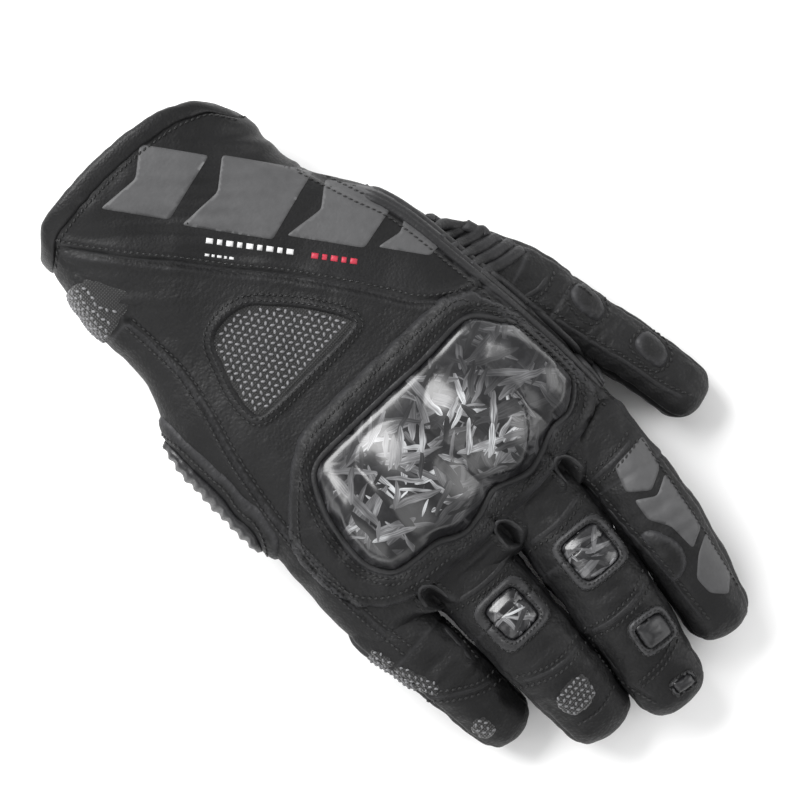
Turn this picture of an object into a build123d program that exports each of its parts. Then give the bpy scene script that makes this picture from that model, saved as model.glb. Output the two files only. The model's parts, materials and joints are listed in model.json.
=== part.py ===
from build123d import *
from functools import cache
import math
import os

# Short leather motorcycle glove for the right hand, lying palm down with a hand's shape in it.
# Frame: millimetres, +Y towards the fingertips, +X towards the little finger, +Z out of the
# back of the hand. The origin is on the flat underside of the palm grip patch, z = 0.

os.makedirs("parts", exist_ok=True)

# ---------------------------------------------------------------- driving dimensions
SKIN = 2.4                # leather with its sewn backing
LINING = 1.0              # knitted inner lining
FINGER_SKIN = 2.0         # leather of fingers and thumb
SEAM_Z = 24.0             # height where back panels meet palm panels
HINGE_GAP = 0.3           # half the gap that two segments keep at a hinge
FINGER_FLEX, FINGER_BACK = 50.0, 10.0     # travel at a finger's base, degrees
MIDDLE_FLEX, MIDDLE_BACK = 60.0, 5.0      # travel at a finger's middle seam
THUMB_FLEX, THUMB_BACK = 25.0, 8.0
THUMB_TIP_FLEX, THUMB_TIP_BACK = 40.0, 5.0
OVERRUN = 7.0             # how far a tube runs past its hinge before it is cut

# Hand and cuff sections: y, lowest x, highest x, lowest z, highest z, and the radius of the
# palm's corner on the thumb side, which is cut away further where the thumb lies
SECTIONS = [
    (-130.0, -40.0, 39.0, 4.2, 49.0, 20.0),
    (-105.0, -39.0, 41.0, 4.2, 47.0, 19.0),
    (-82.0, -38.5, 43.5, 4.2, 44.5, 18.0),
    (-60.0, -46.5, 46.5, 2.6, 43.5, 18.0),
    (-35.0, -52.5, 55.0, 2.2, 44.5, 20.0),
    (-8.0, -56.0, 56.5, 2.2, 45.0, 24.0),
    (18.0, -56.5, 59.0, 2.6, 44.5, 25.0),
    (38.0, -56.0, 60.0, 5.0, 41.5, 22.0),
    (62.0, -54.5, 60.5, 8.0, 38.5, 15.0),
]
SECTION_ROUND = 0.38      # radius of the other corners as a share of a section's height
CUFF_EDGE = [(-44.0, -106.0), (4.0, -125.0), (44.0, -113.0)]
BINDING_WIDTH = 6.0

# Hinge points along each finger, radius at each, and how far its notch reaches to each side
FINGERS = {
    "index": dict(root=(-40.4, 50.0, 24.0), middle=(-33.4, 81.0, 26.5), tip=(-26.9, 114.0, 12.0),
                  radii=(12.6, 11.9, 10.8), reach=(30.0, 13.6)),
    "middle": dict(root=(-13.3, 52.0, 24.0), middle=(-5.8, 88.0, 26.5), tip=(0.5, 118.6, 12.5),
                   radii=(12.8, 12.4, 11.4), reach=(13.4, 15.8)),
    "ring": dict(root=(18.3, 48.0, 24.0), middle=(21.4, 85.5, 26.0), tip=(23.2, 107.3, 12.4),
                 radii=(13.4, 12.1, 11.2), reach=(15.8, 14.6)),
    "little": dict(root=(48.0, 41.0, 23.0), middle=(47.3, 64.0, 23.4), tip=(46.4, 87.2, 10.6),
                   radii=(11.9, 11.0, 9.8), reach=(14.8, 30.0)),
}
THUMB = dict(start=(-40.0, -46.0, 17.6), root=(-58.0, -6.0, 14.6), middle=(-64.4, 27.0, 11.4),
             tip=(-71.2, 58.4, 9.3), radii=(14.5, 12.0, 10.8, 9.0), up=(-0.1, 0.0, 0.97))

# Panel outlines in plan
CUFF_SEAM = [(-90.0, -140.0), (38.0, -140.0), (30.0, -114.0), (0.0, -72.0), (-20.0, -44.0),
             (-30.0, -27.0), (-44.0, -22.0), (-90.0, -22.0)]
OUTER_SIDE = [(33.5, -72.0), (36.0, -52.0), (44.0, -30.0), (49.0, -6.0), (51.0, 20.0),
              (51.0, 70.0), (90.0, 70.0), (90.0, -72.0)]
THUMB_SIDE = [(-46.0, -60.0), (-49.0, -22.0), (-50.0, 10.0), (-50.0, 70.0), (-90.0, 70.0),
              (-90.0, -60.0)]
GUARD_EDGE = [(-49.0, 12.0), (-47.0, 31.0), (-36.0, 36.0), (-18.0, 40.0), (-5.5, 35.8),
              (8.0, 38.5), (20.0, 33.6), (33.0, 30.5), (37.6, 18.0), (31.0, -4.5),
              (18.0, -9.5), (-10.0, -7.8), (-38.0, -6.5), (-46.0, 1.0)]
SURROUND_EDGE = [(-53.0, 20.0), (-51.0, -2.0), (-44.0, -15.0), (-25.0, -19.0), (5.0, -21.0),
                 (28.0, -18.0), (42.0, -7.5), (52.0, 5.0), (53.5, 24.0), (44.0, 38.0),
                 (20.0, 44.5), (-14.0, 47.0), (-42.0, 44.5), (-51.0, 38.0)]
MESH_EDGE = [(-13.0, -32.5), (6.0, -31.6), (26.0, -34.0), (24.5, -48.0), (17.0, -59.0),
             (3.0, -57.0), (-6.5, -45.0)]
GUARD_BUMPS = [(-40.5, 19.0, 7.6, 34.0), (-19.0, 18.0, 12.2, 42.0), (8.5, 16.5, 13.4, 44.0),
               (27.0, 15.0, 9.4, 34.0)]       # x, y, radius, length of each domed knuckle
GUARD_AXIS_Z = 42.6
GUARD_WALL = 2.0


# ---------------------------------------------------------------- helpers
def plan_outline(points, smooth=True):
    """Closed plan outline as a face: a smooth loop, or straight runs."""
    line = Spline(*points, periodic=True) if smooth else Polyline(*points, close=True)
    return make_face(line)


def prism(points, low, high, smooth=True):
    """Upright prism over a plan outline, from one height to another."""
    return extrude(Pos(0, 0, low) * plan_outline(points, smooth), high - low)


def hand_section(x_low, x_high, z_low, z_high, thumb_round, other_round):
    """Rounded outline of the hand, x across and z up, begun beside the palm's thumb-side corner."""
    radii = [other_round, other_round, other_round, thumb_round]
    corners = [(x_high, z_low, 1, 1), (x_high, z_high, 1, -1), (x_low, z_high, -1, -1), (x_low, z_low, -1, 1)]
    edges = []
    first = before = (x_low + thumb_round, z_low)
    for (x, z, out_x, in_z), radius in zip(corners, radii):
        slack = radius * (1 - math.sqrt(0.5))
        level, upright = (x - out_x * radius, z), (x, z + in_z * radius)
        begin, end = (level, upright) if out_x == in_z else (upright, level)
        middle = (x - out_x * slack, z + in_z * slack)
        if begin != before:
            edges.append(Line(before, begin))
        edges.append(ThreePointArc(begin, middle, end))
        before = end
    return make_face(edges)


@cache
def hand_solid(grow):
    """Outside of hand and cuff, grown by a distance."""
    rings = []
    for y, x_low, x_high, z_low, z_high, thumb_round in SECTIONS:
        place = Plane(origin=(0, y, 0), x_dir=(1, 0, 0), z_dir=(0, -1, 0))
        other_round = (z_high - z_low) * SECTION_ROUND
        section = hand_section(
            x_low - grow, x_high + grow, z_low - grow, z_high + grow, thumb_round + grow, other_round + grow
        )
        rings.append(place * section)
    return loft(rings)


def unit(vector):
    return Vector(vector).normalized()


def square_up(forward, up):
    """The up direction made square to forward."""
    up = Vector(up)
    return (up - forward * up.dot(forward)).normalized()


class Segment:
    """A tapered tube of leather between two hinge points, closed by a round tip if it is the last."""

    def __init__(self, start, end, r_start, r_end, up, closed=False, skin=FINGER_SKIN):
        self.start, self.end = Vector(start), Vector(end)
        self.length = (self.end - self.start).length
        self.forward = (self.end - self.start).normalized()
        self.up = square_up(self.forward, up)
        self.side = self.forward.cross(self.up)
        self.r_start, self.r_end, self.closed, self.skin = r_start, r_end, closed, skin

    def radius(self, along):
        return self.r_start + (self.r_end - self.r_start) * along / self.length

    def outward(self, angle):
        """Direction square to the axis, turned from up towards the little-finger side."""
        turn = math.radians(angle)
        return self.up * math.cos(turn) + self.side * math.sin(turn)

    def profile(self, inner, outer):
        """Half section between two offsets from the outside; inner None means down to the axis."""
        begin = -OVERRUN
        r0, r1 = self.radius(begin) + outer, self.radius(self.length) + outer
        if not self.closed:
            last = self.length + OVERRUN
            r1 = self.radius(last) + outer
            if inner is None:
                points = [(begin, r0), (last, r1), (last, 0), (begin, 0)]
            else:
                gone = outer - inner
                points = [(begin, r0), (last, r1), (last, r1 - gone), (begin, r0 - gone)]
            return Polyline(*points, close=True)
        half = math.sqrt(0.5)
        end = self.length
        cap = ThreePointArc((end, r1), (end + r1 * half, r1 * half), (end + r1, 0))
        if inner is None:
            return Polyline((end + r1, 0), (begin, 0), (begin, r0), (end, r1)) + cap
        gone = outer - inner
        r2 = r1 - gone
        inside = ThreePointArc((end, r2), (end + r2 * half, r2 * half), (end + r2, 0))
        walls = Polyline((begin, r0), (end, r1)) + Polyline((begin, r0), (begin, r0 - gone), (end, r2))
        return walls + cap + Line((end + r1, 0), (end + r2, 0)) + inside

    def turned(self, profile, first, last):
        """Profile turned about the axis between two angles."""
        place = Plane(
            origin=self.start,
            x_dir=self.forward,
            z_dir=self.forward.cross(self.outward(first)),
        )
        return revolve(place * make_face(profile), Axis(self.start, self.forward), last - first)

    def panel(self, first, last, outer=0.0):
        """Leather panel between two angles."""
        return self.turned(self.profile(-self.skin, outer), first, last)

    def whole(self, grow=0.0):
        """Solid inside the outer surface, grown by a distance."""
        return self.turned(self.profile(None, grow), 0, 360)

    def patch(self, along, angle, length, width, thickness, corner, tilt=0.0):
        """Piece that lies on the outside, centred at a place along and an angle about the axis."""
        lean = math.radians(tilt)
        out = self.outward(angle) * math.cos(lean) + self.forward * math.sin(lean)
        run = self.forward * math.cos(lean) - self.outward(angle) * math.sin(lean)
        place = Plane(origin=self.start + self.forward * along, x_dir=run, z_dir=out)
        block = extrude(place * RectangleRounded(length, width, corner), 30)
        return block & (self.whole(thickness) - self.whole(0.0))


def wedge(pivot, forward, up, flex, back, side, reach=(40.0, 40.0)):
    """Everything before (side -1) or beyond (side 1) a hinge's two cutting planes."""
    deep, long = 45.0, 90.0
    palm = math.tan(math.radians(flex / 2 + 1)) * deep
    dorsal = math.tan(math.radians(back / 2 + 1)) * deep
    points = [(-dorsal, deep), (0, 0), (-palm, -deep), (long, -deep), (long, deep)]
    points = [(side * (s - HINGE_GAP), w) for s, w in points]
    forward = unit(forward)
    up = square_up(forward, up)
    across = forward.cross(up)
    place = Plane(origin=Vector(pivot) - across * reach[0], x_dir=forward, z_dir=across)
    return extrude(place * make_face(Polyline(*points, close=True)), reach[0] + reach[1])


def save(name, shape, label=None):
    """Writes one sub-part, as one solid or a group of separate solids."""
    solids = [s for s in shape.solids() if s.volume > 0.5]
    result = solids[0] if len(solids) == 1 else Compound(children=solids)
    result.label = label or name
    export_step(result, f"parts/{name}.step")


def above(z):
    return Pos(0, 0, z + 100) * Box(400, 400, 200)


def below(z):
    return Pos(0, 0, z - 100) * Box(400, 400, 200)


# ---------------------------------------------------------------- fingers
def mean_direction(first, second):
    return (first.forward + second.forward).normalized()


def finger_segments(spec):
    up = (0, 0, 1)
    r0, r1, r2 = spec["radii"]
    base = Segment(spec["root"], spec["middle"], r0, r1, up)
    tip = Segment(spec["middle"], spec["tip"], r1, r2, up, closed=True)
    return base, tip


def finger_cutters(spec, base, tip):
    """Cutting wedges: hand in front of the root, base behind the root and past the middle, tip."""
    up = (0, 0, 1)
    level = Vector(base.forward.X, base.forward.Y, 0)
    bend = mean_direction(base, tip)
    root_hand = wedge(spec["root"], level, up, FINGER_FLEX, FINGER_BACK, 1, spec["reach"])
    root_base = wedge(spec["root"], level, up, FINGER_FLEX, FINGER_BACK, -1)
    middle_base = wedge(spec["middle"], bend, up, MIDDLE_FLEX, MIDDLE_BACK, 1)
    middle_tip = wedge(spec["middle"], bend, up, MIDDLE_FLEX, MIDDLE_BACK, -1)
    return root_hand, root_base + middle_base, middle_tip


def make_finger(name, spec):
    """Leather panels of one finger; returns its segments, cutters and the hand's notch."""
    base, tip = finger_segments(spec)
    root_hand, base_cut, tip_cut = finger_cutters(spec, base, tip)
    save(f"{name}_base_back", base.panel(-65, 65) - base_cut)
    save(f"{name}_base_palm", base.panel(115, 245) - base_cut)
    save(f"{name}_base_gussets", (base.panel(65, 115) - base_cut) + (base.panel(245, 295) - base_cut))
    save(f"{name}_tip_back", tip.panel(-90, 90) - tip_cut)
    save(f"{name}_tip_palm", tip.panel(90, 270) - tip_cut)
    return base, tip, base_cut, tip_cut, root_hand


def make_fingers():
    parts = {name: make_finger(name, spec) for name, spec in FINGERS.items()}

    index_tip, index_cut = parts["index"][1], parts["index"][3]
    save("index_knuckle_pad", index_tip.patch(8.5, 6, 17, 9, 2.4, 3.5) - index_cut)

    base, tip, base_cut, tip_cut, _ = parts["middle"]
    save("middle_knuckle_slider", base.patch(21.5, -16, 14, 13.5, 3.0, 3.2) - base_cut)
    save("middle_second_slider", tip.patch(18.0, -20, 11, 10, 2.4, 2.6) - tip_cut)
    save("middle_tip_slider", tip.patch(tip.length, -12, 6, 9, 1.6, 2.2, tilt=38) - tip_cut)

    base, tip, base_cut, tip_cut, _ = parts["ring"]
    save("ring_knuckle_slider", base.patch(20.5, -6, 14.5, 13, 3.0, 3.2) - base_cut)
    save("ring_tip_mesh", tip.patch(tip.length - 3, 4, 11, 14, 0.8, 4.0, tilt=12) - tip_cut)

    base, tip, base_cut, tip_cut, _ = parts["little"]
    save("little_side_mesh", base.patch(12.0, 68, 20, 7, 0.8, 3.0) - base_cut)
    save("little_tip_mesh", tip.patch(tip.length - 1, 52, 8, 7.5, 0.8, 3.2) - tip_cut)
    return [entry[4] for entry in parts.values()]


# ---------------------------------------------------------------- thumb
def make_thumb():
    """Thumb panels and its root; returns what the hand panels must leave open for it."""
    spec = THUMB
    r_start, r_root, r_middle, r_tip = spec["radii"]
    up = spec["up"]
    stub = Segment(spec["start"], spec["root"], r_start, r_root, up)
    base = Segment(spec["root"], spec["middle"], r_root, r_middle, up)
    tip = Segment(spec["middle"], spec["tip"], r_middle, r_tip, up, closed=True)
    root_way = mean_direction(stub, base)
    tip_way = mean_direction(base, tip)
    stub_cut = wedge(spec["root"], root_way, up, THUMB_FLEX, THUMB_BACK, 1)
    base_cut = wedge(spec["root"], root_way, up, THUMB_FLEX, THUMB_BACK, -1)
    base_cut += wedge(spec["middle"], tip_way, up, THUMB_TIP_FLEX, THUMB_TIP_BACK, 1)
    tip_cut = wedge(spec["middle"], tip_way, up, THUMB_TIP_FLEX, THUMB_TIP_BACK, -1)

    save("thumb_base_back", base.panel(-90, 90) - base_cut)
    save("thumb_base_palm", base.panel(90, 270) - base_cut)
    save("thumb_tip_back", tip.panel(-90, 90) - tip_cut)
    save("thumb_tip_palm", tip.panel(90, 270) - tip_cut)
    save("thumb_base_pad", base.patch(24.0, -32, 14, 7, 1.8, 3.0) - base_cut)
    save("thumb_tip_pad", tip.patch(17.5, -32, 13, 7, 1.8, 3.0) - tip_cut)

    hand = hand_solid(0.0)
    save("thumb_root_panel", stub.panel(0, 360) - stub_cut - hand)
    ribs = 6
    pitch = 4.2
    first = stub.length - 4.0 - ribs * pitch
    height = 1.8

    def stub_radius(along):
        return stub.radius(along) + 0.02

    crest = Polyline((first, stub_radius(first)), (first + ribs * pitch, stub_radius(first + ribs * pitch)))
    for i in range(ribs):
        a, b = first + i * pitch, first + (i + 1) * pitch
        m = (a + b) / 2
        low = 0.35
        crest += ThreePointArc(
            (a, stub_radius(a) + low), (m, stub_radius(m) + height), (b, stub_radius(b) + low)
        )
    crest += Line((first, stub_radius(first)), (first, stub_radius(first) + 0.35))
    last = first + ribs * pitch
    crest += Line((last, stub_radius(last)), (last, stub_radius(last) + 0.35))
    save("thumb_accordion", stub.turned(crest, -70, 30) - stub_cut - hand_solid(0.3))
    room = base.whole(0.9)
    hinge = Axis(Vector(spec["root"]), square_up(root_way, up).cross(root_way))
    turned = [room.rotate(hinge, angle) for angle in (-THUMB_BACK, 0, THUMB_FLEX / 2, THUMB_FLEX)]
    return [stub.whole(-FINGER_SKIN), *turned]


# ---------------------------------------------------------------- hand
def make_hand(clearances):
    outside, inside, core = hand_solid(0.0), hand_solid(-SKIN), hand_solid(-SKIN - LINING)
    edge_arc = ThreePointArc(*CUFF_EDGE)
    (x0, y0), _, (x1, y1) = CUFF_EDGE

    def cuff_cut(shift):
        """Everything beyond the curved cuff edge, moved up the glove by a distance."""
        frame = Polyline((x1, y1), (x1 + 40, y1), (x1 + 40, -180), (x0 - 40, -180), (x0 - 40, y0), (x0, y0))
        return Pos(0, shift, -20) * extrude(make_face(edge_arc + frame), 100)

    trimmed = cuff_cut(BINDING_WIDTH)
    binding_tube = hand_solid(0.8) - hand_solid(-SKIN - LINING - 0.4)
    save("cuff_binding", (binding_tube & trimmed) - cuff_cut(0.0))

    tube = outside - inside - trimmed
    lining = inside - core - trimmed
    for clearance in clearances:
        tube -= clearance
        lining -= clearance

    cuff_area = prism(CUFF_SEAM, -10, 90, smooth=False)
    outer_area = prism(OUTER_SIDE, -10, 90, smooth=False)
    thumb_area = prism(THUMB_SIDE, -10, 90, smooth=False)
    back, palm = above(SEAM_Z), below(SEAM_Z)
    wrist_line = Pos(0, -75.0 - 100, 0) * Box(400, 200, 400)

    middle_tube = tube - outer_area - thumb_area
    save("cuff_back_panel", middle_tube & back & cuff_area)
    save("hand_back_panel", (middle_tube & back) - cuff_area)
    save("cuff_palm_panel", middle_tube & palm & wrist_line)
    save("palm_panel", (middle_tube & palm) - wrist_line)
    save("outer_side_panel", tube & outer_area)
    save("thumb_side_panel", tube & thumb_area)
    save("back_lining", lining & back)
    save("palm_lining", lining & palm)
    return outside


def make_knuckle_guard(outside):
    """Hard shell with four domed knuckles, its foam, and the padded leather round it."""
    area = prism(GUARD_EDGE, SEAM_Z, 90)

    def domes(shrink):
        result = hand_solid(3.2 - shrink)
        for x, y, radius, length in GUARD_BUMPS:
            r, half = radius - shrink, length / 2 - shrink
            arc = ThreePointArc((0, -half), (r, 0), (0, half))
            face = make_face(arc + Line((0, -half), (0, half)))
            result += Pos(x, y, GUARD_AXIS_Z) * revolve(face, Axis.Y)
        return result

    outer, inner = domes(0.0), domes(GUARD_WALL)
    save("knuckle_guard", (area & outer) - inner)
    save("knuckle_foam", (area & inner) - outside)
    pad = (hand_solid(2.2) - outside) & prism(SURROUND_EDGE, SEAM_Z + 8, 90)
    save("knuckle_surround", pad - area)


def make_hand_trim(outside):
    """Patches, sliders and piping sewn on the hand."""
    mesh = (hand_solid(0.8) - outside) & prism(MESH_EDGE, SEAM_Z + 4, 90)
    save("back_mesh_patch", mesh)
    wrist_mesh = [(38.0, -85.0), (44.0, -86.0), (48.0, -94.0), (47.0, -102.0), (40.0, -106.0),
                  (37.0, -96.0)]
    mesh = (hand_solid(0.8) - outside) & prism(wrist_mesh, SEAM_Z - 8, SEAM_Z + 16)
    save("outer_wrist_mesh", mesh)
    slider = [(49.0, -6.0), (47.5, -30.0), (44.5, -54.0), (70.0, -54.0), (70.0, -6.0)]
    block = prism(slider, SEAM_Z - 9, SEAM_Z + 8, smooth=False)
    save("outer_hand_slider", (hand_solid(2.6) - outside) & block)
    piping = [(-47.5, -52.0), (-52.5, -20.0), (-53.0, 6.0)]
    layer = hand_solid(1.6) - outside - prism(SURROUND_EDGE, SEAM_Z, 90)
    ridges = []
    for offset in (0.0, 3.1, 6.2):
        line = [(x + offset, y) for x, y in piping]
        wide = [(x + 2.0, y) for x, y in reversed(line)]
        ridges += (prism(line + wide, SEAM_Z + 5, 90, smooth=False) & layer).solids()
    save("thumb_side_piping", Compound(children=ridges))


def make_palm(outside):
    """Grip patch the glove rests on, heel slider and its pad, and the loop half of the fastening."""
    grip = [(-36.0, 20.0), (-30.0, -14.0), (0.0, -22.0), (34.0, -14.0), (42.0, 20.0), (6.0, 30.0)]
    save("palm_grip_patch", prism(grip, 0.0, SEAM_Z) - outside)
    pad = Pos(26.0, -46.0, 0) * extrude(RectangleRounded(38.0, 34.0, 9.0), SEAM_Z)
    slider = Pos(26.0, -46.0, 0) * extrude(RectangleRounded(27.0, 24.0, 8.0), SEAM_Z)
    save("palm_heel_pad", (Pos(0, 0, 1.0) * pad) - slider - outside)
    save("palm_heel_slider", slider - outside)


# ---------------------------------------------------------------- wrist strap
STRAP_Y, STRAP_WIDTH = -95.0, 25.0
STRAP_HINGE_X, STRAP_END_X = 22.0, -27.0
STRAP_MID_Z, STRAP_THICK = 1.5, 2.2
HOOK_TOP_Z, LOOP_LOW_Z = 3.2, 3.5


def make_strap(outside):
    """Hook-and-loop wrist strap under the cuff: band, hooks and pull tab turn about its sewn end."""
    half = STRAP_THICK / 2

    def slab(x_low, x_high, z_low, z_high, width, corner):
        centre = ((x_low + x_high) / 2, STRAP_Y)
        shape = RectangleRounded(x_high - x_low, width, corner)
        return Pos(centre[0], centre[1], z_low) * extrude(shape, z_high - z_low)

    low, high = STRAP_MID_Z - half, STRAP_MID_Z + half
    band = Pos((STRAP_END_X + STRAP_HINGE_X) / 2, STRAP_Y, STRAP_MID_Z) * Box(
        STRAP_HINGE_X - STRAP_END_X, STRAP_WIDTH, STRAP_THICK
    )
    roll = Pos(STRAP_HINGE_X, STRAP_Y, STRAP_MID_Z) * Rot(90, 0, 0) * Cylinder(half, STRAP_WIDTH)
    tab = slab(STRAP_END_X - 9.0, STRAP_END_X, low + 0.3, high - 0.3, STRAP_WIDTH - 6.0, 3.5)
    save("wrist_strap", band + roll)
    save("strap_pull_tab", tab)
    save("strap_hook_patch", slab(STRAP_END_X + 3.0, 4.0, high, HOOK_TOP_Z, STRAP_WIDTH - 5.0, 2.0))
    save("strap_loop_patch", slab(STRAP_END_X + 2.0, 12.0, LOOP_LOW_Z, 12.0, STRAP_WIDTH - 3.0, 2.0) - outside)
    anchor = slab(STRAP_HINGE_X + half + 0.35, STRAP_HINGE_X + 15.0, low, 16.0, STRAP_WIDTH, 0.6)
    save("strap_anchor", (anchor & hand_solid(3.4)) - outside)


clearances = make_fingers() + make_thumb()
outside = make_hand(clearances)
make_knuckle_guard(outside)
make_hand_trim(outside)
make_palm(outside)
make_strap(outside)
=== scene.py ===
import bpy
import json
import math
import numpy as np
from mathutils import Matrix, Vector, geometry
from mathutils.bvhtree import BVHTree


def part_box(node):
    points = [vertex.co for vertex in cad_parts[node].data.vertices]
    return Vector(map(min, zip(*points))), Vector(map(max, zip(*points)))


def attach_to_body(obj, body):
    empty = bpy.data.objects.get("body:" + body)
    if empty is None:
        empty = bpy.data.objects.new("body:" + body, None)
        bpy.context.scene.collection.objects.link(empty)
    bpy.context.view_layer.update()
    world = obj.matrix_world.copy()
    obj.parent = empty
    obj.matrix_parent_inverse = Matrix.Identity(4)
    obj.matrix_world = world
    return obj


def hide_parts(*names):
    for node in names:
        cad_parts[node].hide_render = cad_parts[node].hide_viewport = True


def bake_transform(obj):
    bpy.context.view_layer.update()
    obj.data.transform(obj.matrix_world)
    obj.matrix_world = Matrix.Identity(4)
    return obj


# A short leather riding glove for the right hand. Shapes are worked out in millimetres in the
# part's frame (+Y to the fingertips, +X to the little finger, +Z out of the back) and scaled to metres.

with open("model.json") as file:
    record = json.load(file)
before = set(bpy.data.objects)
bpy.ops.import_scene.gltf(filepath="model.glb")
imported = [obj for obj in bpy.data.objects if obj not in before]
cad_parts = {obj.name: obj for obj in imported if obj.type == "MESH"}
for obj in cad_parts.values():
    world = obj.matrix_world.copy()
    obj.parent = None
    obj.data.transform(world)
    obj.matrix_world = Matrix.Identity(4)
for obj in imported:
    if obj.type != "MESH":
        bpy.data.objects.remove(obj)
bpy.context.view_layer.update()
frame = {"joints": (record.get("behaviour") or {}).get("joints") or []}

MM = 0.001
TAU = 2 * math.pi
JOINTS = {j["name"]: j for j in frame["joints"]}
FINGERS = ("index", "middle", "ring", "little")


# ------------------------------------------------------------------ numbers and curves
def corners(node):
    """Lowest and highest corner of a CAD node, in millimetres."""
    low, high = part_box(node)
    return np.array(low) / MM, np.array(high) / MM


def pivot(joint):
    return np.array(JOINTS[joint]["pos_m"]) / MM


def unit(v):
    v = np.asarray(v, float)
    return v / np.linalg.norm(v)


def smoothstep(low, high, value):
    t = np.clip((np.asarray(value, float) - low) / (high - low), 0, 1)
    return t * t * (3 - 2 * t)


def dip(distance, width):
    """A bell of height 1 about distance 0."""
    return np.exp(-((distance / width) ** 2))


def curve_through(points, step=1.2, closed=False):
    """Catmull-Rom curve through the points, evenly resampled about every step."""
    p = np.array(points, float)
    n = len(p)
    count = n if closed else n - 1
    out = []
    for i in range(count):
        if closed:
            a, b, c, d = p[(i - 1) % n], p[i], p[(i + 1) % n], p[(i + 2) % n]
        else:
            a, b, c, d = p[max(i - 1, 0)], p[i], p[i + 1], p[min(i + 2, n - 1)]
        t = np.linspace(0, 1, 16, endpoint=False)[:, None]
        out.append(0.5 * (2 * b + (c - a) * t + (2 * a - 5 * b + 4 * c - d) * t**2
                          + (3 * b - a - 3 * c + d) * t**3))
    line = np.vstack(out + [p[:1] if closed else p[-1:]])
    return resample(line, step, closed)


def resample(line, step, closed=False):
    """The line with evenly spaced points, about a step apart."""
    length = lengths_along(line)
    count = max(3, int(round(length[-1] / step)))
    at = np.linspace(0, length[-1], count + 1)
    if closed:
        at = at[:-1]
    return np.stack([np.interp(at, length, line[:, k]) for k in range(line.shape[1])], axis=1)


def lengths_along(line):
    """Length of a line from its start to each of its points."""
    return np.concatenate([[0], np.cumsum(np.linalg.norm(np.diff(line, axis=0), axis=1))])


def looped(outline):
    """A closed outline with its first point again at its end."""
    return np.vstack([outline, outline[:1]])


def rounded_box(centre, width, length, turn=0.0, power=4.5, step=1.0):
    """Closed outline of a rounded rectangle, turned by an angle in degrees."""
    t = np.linspace(0, TAU, 120, endpoint=False)
    c, s = np.cos(t), np.sin(t)
    x = width / 2 * np.sign(c) * np.abs(c) ** (2 / power)
    y = length / 2 * np.sign(s) * np.abs(s) ** (2 / power)
    a = math.radians(turn)
    line = np.stack([centre[0] + x * math.cos(a) - y * math.sin(a),
                     centre[1] + x * math.sin(a) + y * math.cos(a)], axis=1)
    return resample(looped(line), step, closed=True)


BATCH = 4000             # points measured against a line at once


def to_line(points, line, closed=False):
    """Distance from each point to a line in plan, and on which side: positive to the left of it."""
    points, line = np.asarray(points, float), np.asarray(line, float)
    a = line if closed else line[:-1]
    b = np.roll(line, -1, axis=0) if closed else line[1:]
    run = b - a
    size = np.maximum((run**2).sum(1), 1e-12)
    best = np.full(len(points), 1e9)
    side = np.ones(len(points))
    for begin in range(0, len(points), BATCH):
        p = points[begin:begin + BATCH]
        rel = p[:, None, :] - a[None]
        t = np.clip((rel * run[None]).sum(2) / size[None], 0, 1)
        gap = rel - t[..., None] * run[None]
        d2 = (gap**2).sum(2)
        k = d2.argmin(1)
        rows = np.arange(len(p))
        best[begin:begin + BATCH] = np.sqrt(d2[rows, k])
        cross = run[k, 0] * rel[rows, k, 1] - run[k, 1] * rel[rows, k, 0]
        side[begin:begin + BATCH] = np.where(cross >= 0, 1.0, -1.0)
    return best, side


def inside(points, outline):
    """Which points lie inside a closed outline."""
    x, y = points[:, 0], points[:, 1]
    result = np.zeros(len(points), bool)
    for (x0, y0), (x1, y1) in zip(outline, np.roll(outline, -1, axis=0)):
        crosses = (y0 > y) != (y1 > y)
        with np.errstate(divide="ignore", invalid="ignore"):
            at = (x1 - x0) * (y - y0) / (y1 - y0) + x0
        result ^= crosses & (x < at)
    return result


WAVES = 14               # plane waves that make up a random field


def waves(points, wavelength, seed):
    """Smooth random field of about unit height, from plane waves of about one length."""
    draw = np.random.default_rng(seed)
    way = draw.normal(size=(WAVES, points.shape[1]))
    way /= np.linalg.norm(way, axis=1)[:, None]
    pitch = TAU / wavelength * draw.uniform(0.7, 1.4, WAVES)
    phase = draw.uniform(0, TAU, WAVES)
    return np.sin(points @ (way * pitch[:, None]).T + phase).sum(1) * math.sqrt(2 / WAVES) * 0.7


# ------------------------------------------------------------------ meshes
def new_mesh(name, verts, faces):
    mesh = bpy.data.meshes.new(name)
    mesh.from_pydata(verts.tolist(), [], [list(map(int, f)) for f in faces])
    return mesh


def new_object(name, data):
    obj = bpy.data.objects.new(name, data)
    bpy.context.scene.collection.objects.link(obj)
    return obj


def new_piece(name, verts, faces, material):
    """Smooth-shaded mesh object from points in millimetres."""
    mesh = new_mesh(name, np.asarray(verts, float) * MM, faces)
    mesh.validate()
    mesh.polygons.foreach_set("use_smooth", [True] * len(mesh.polygons))
    mesh.materials.append(material)
    return new_object(name, mesh)


def keep_rest(obj):
    """Stores each point's rest position in millimetres for the materials."""
    mesh = obj.data
    co = np.zeros(len(mesh.vertices) * 3, np.float32)
    mesh.vertices.foreach_get("co", co)
    attribute = mesh.attributes.get("rest") or mesh.attributes.new("rest", "FLOAT_VECTOR", "POINT")
    attribute.data.foreach_set("vector", co / MM)


def grid_faces(rows, cols, closed_cols=False):
    """Quads of a grid of points, seen from outside when rows run forward and columns turn."""
    faces = []
    last = cols if closed_cols else cols - 1
    for i in range(rows - 1):
        for j in range(last):
            k = (j + 1) % cols
            faces.append((i * cols + j, i * cols + k, (i + 1) * cols + k, (i + 1) * cols + j))
    return faces


def triangles(faces):
    """Each face as a fan of triangles."""
    out = []
    for f in faces:
        for k in range(1, len(f) - 1):
            out.append((f[0], f[k], f[k + 1]))
    return out


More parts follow.
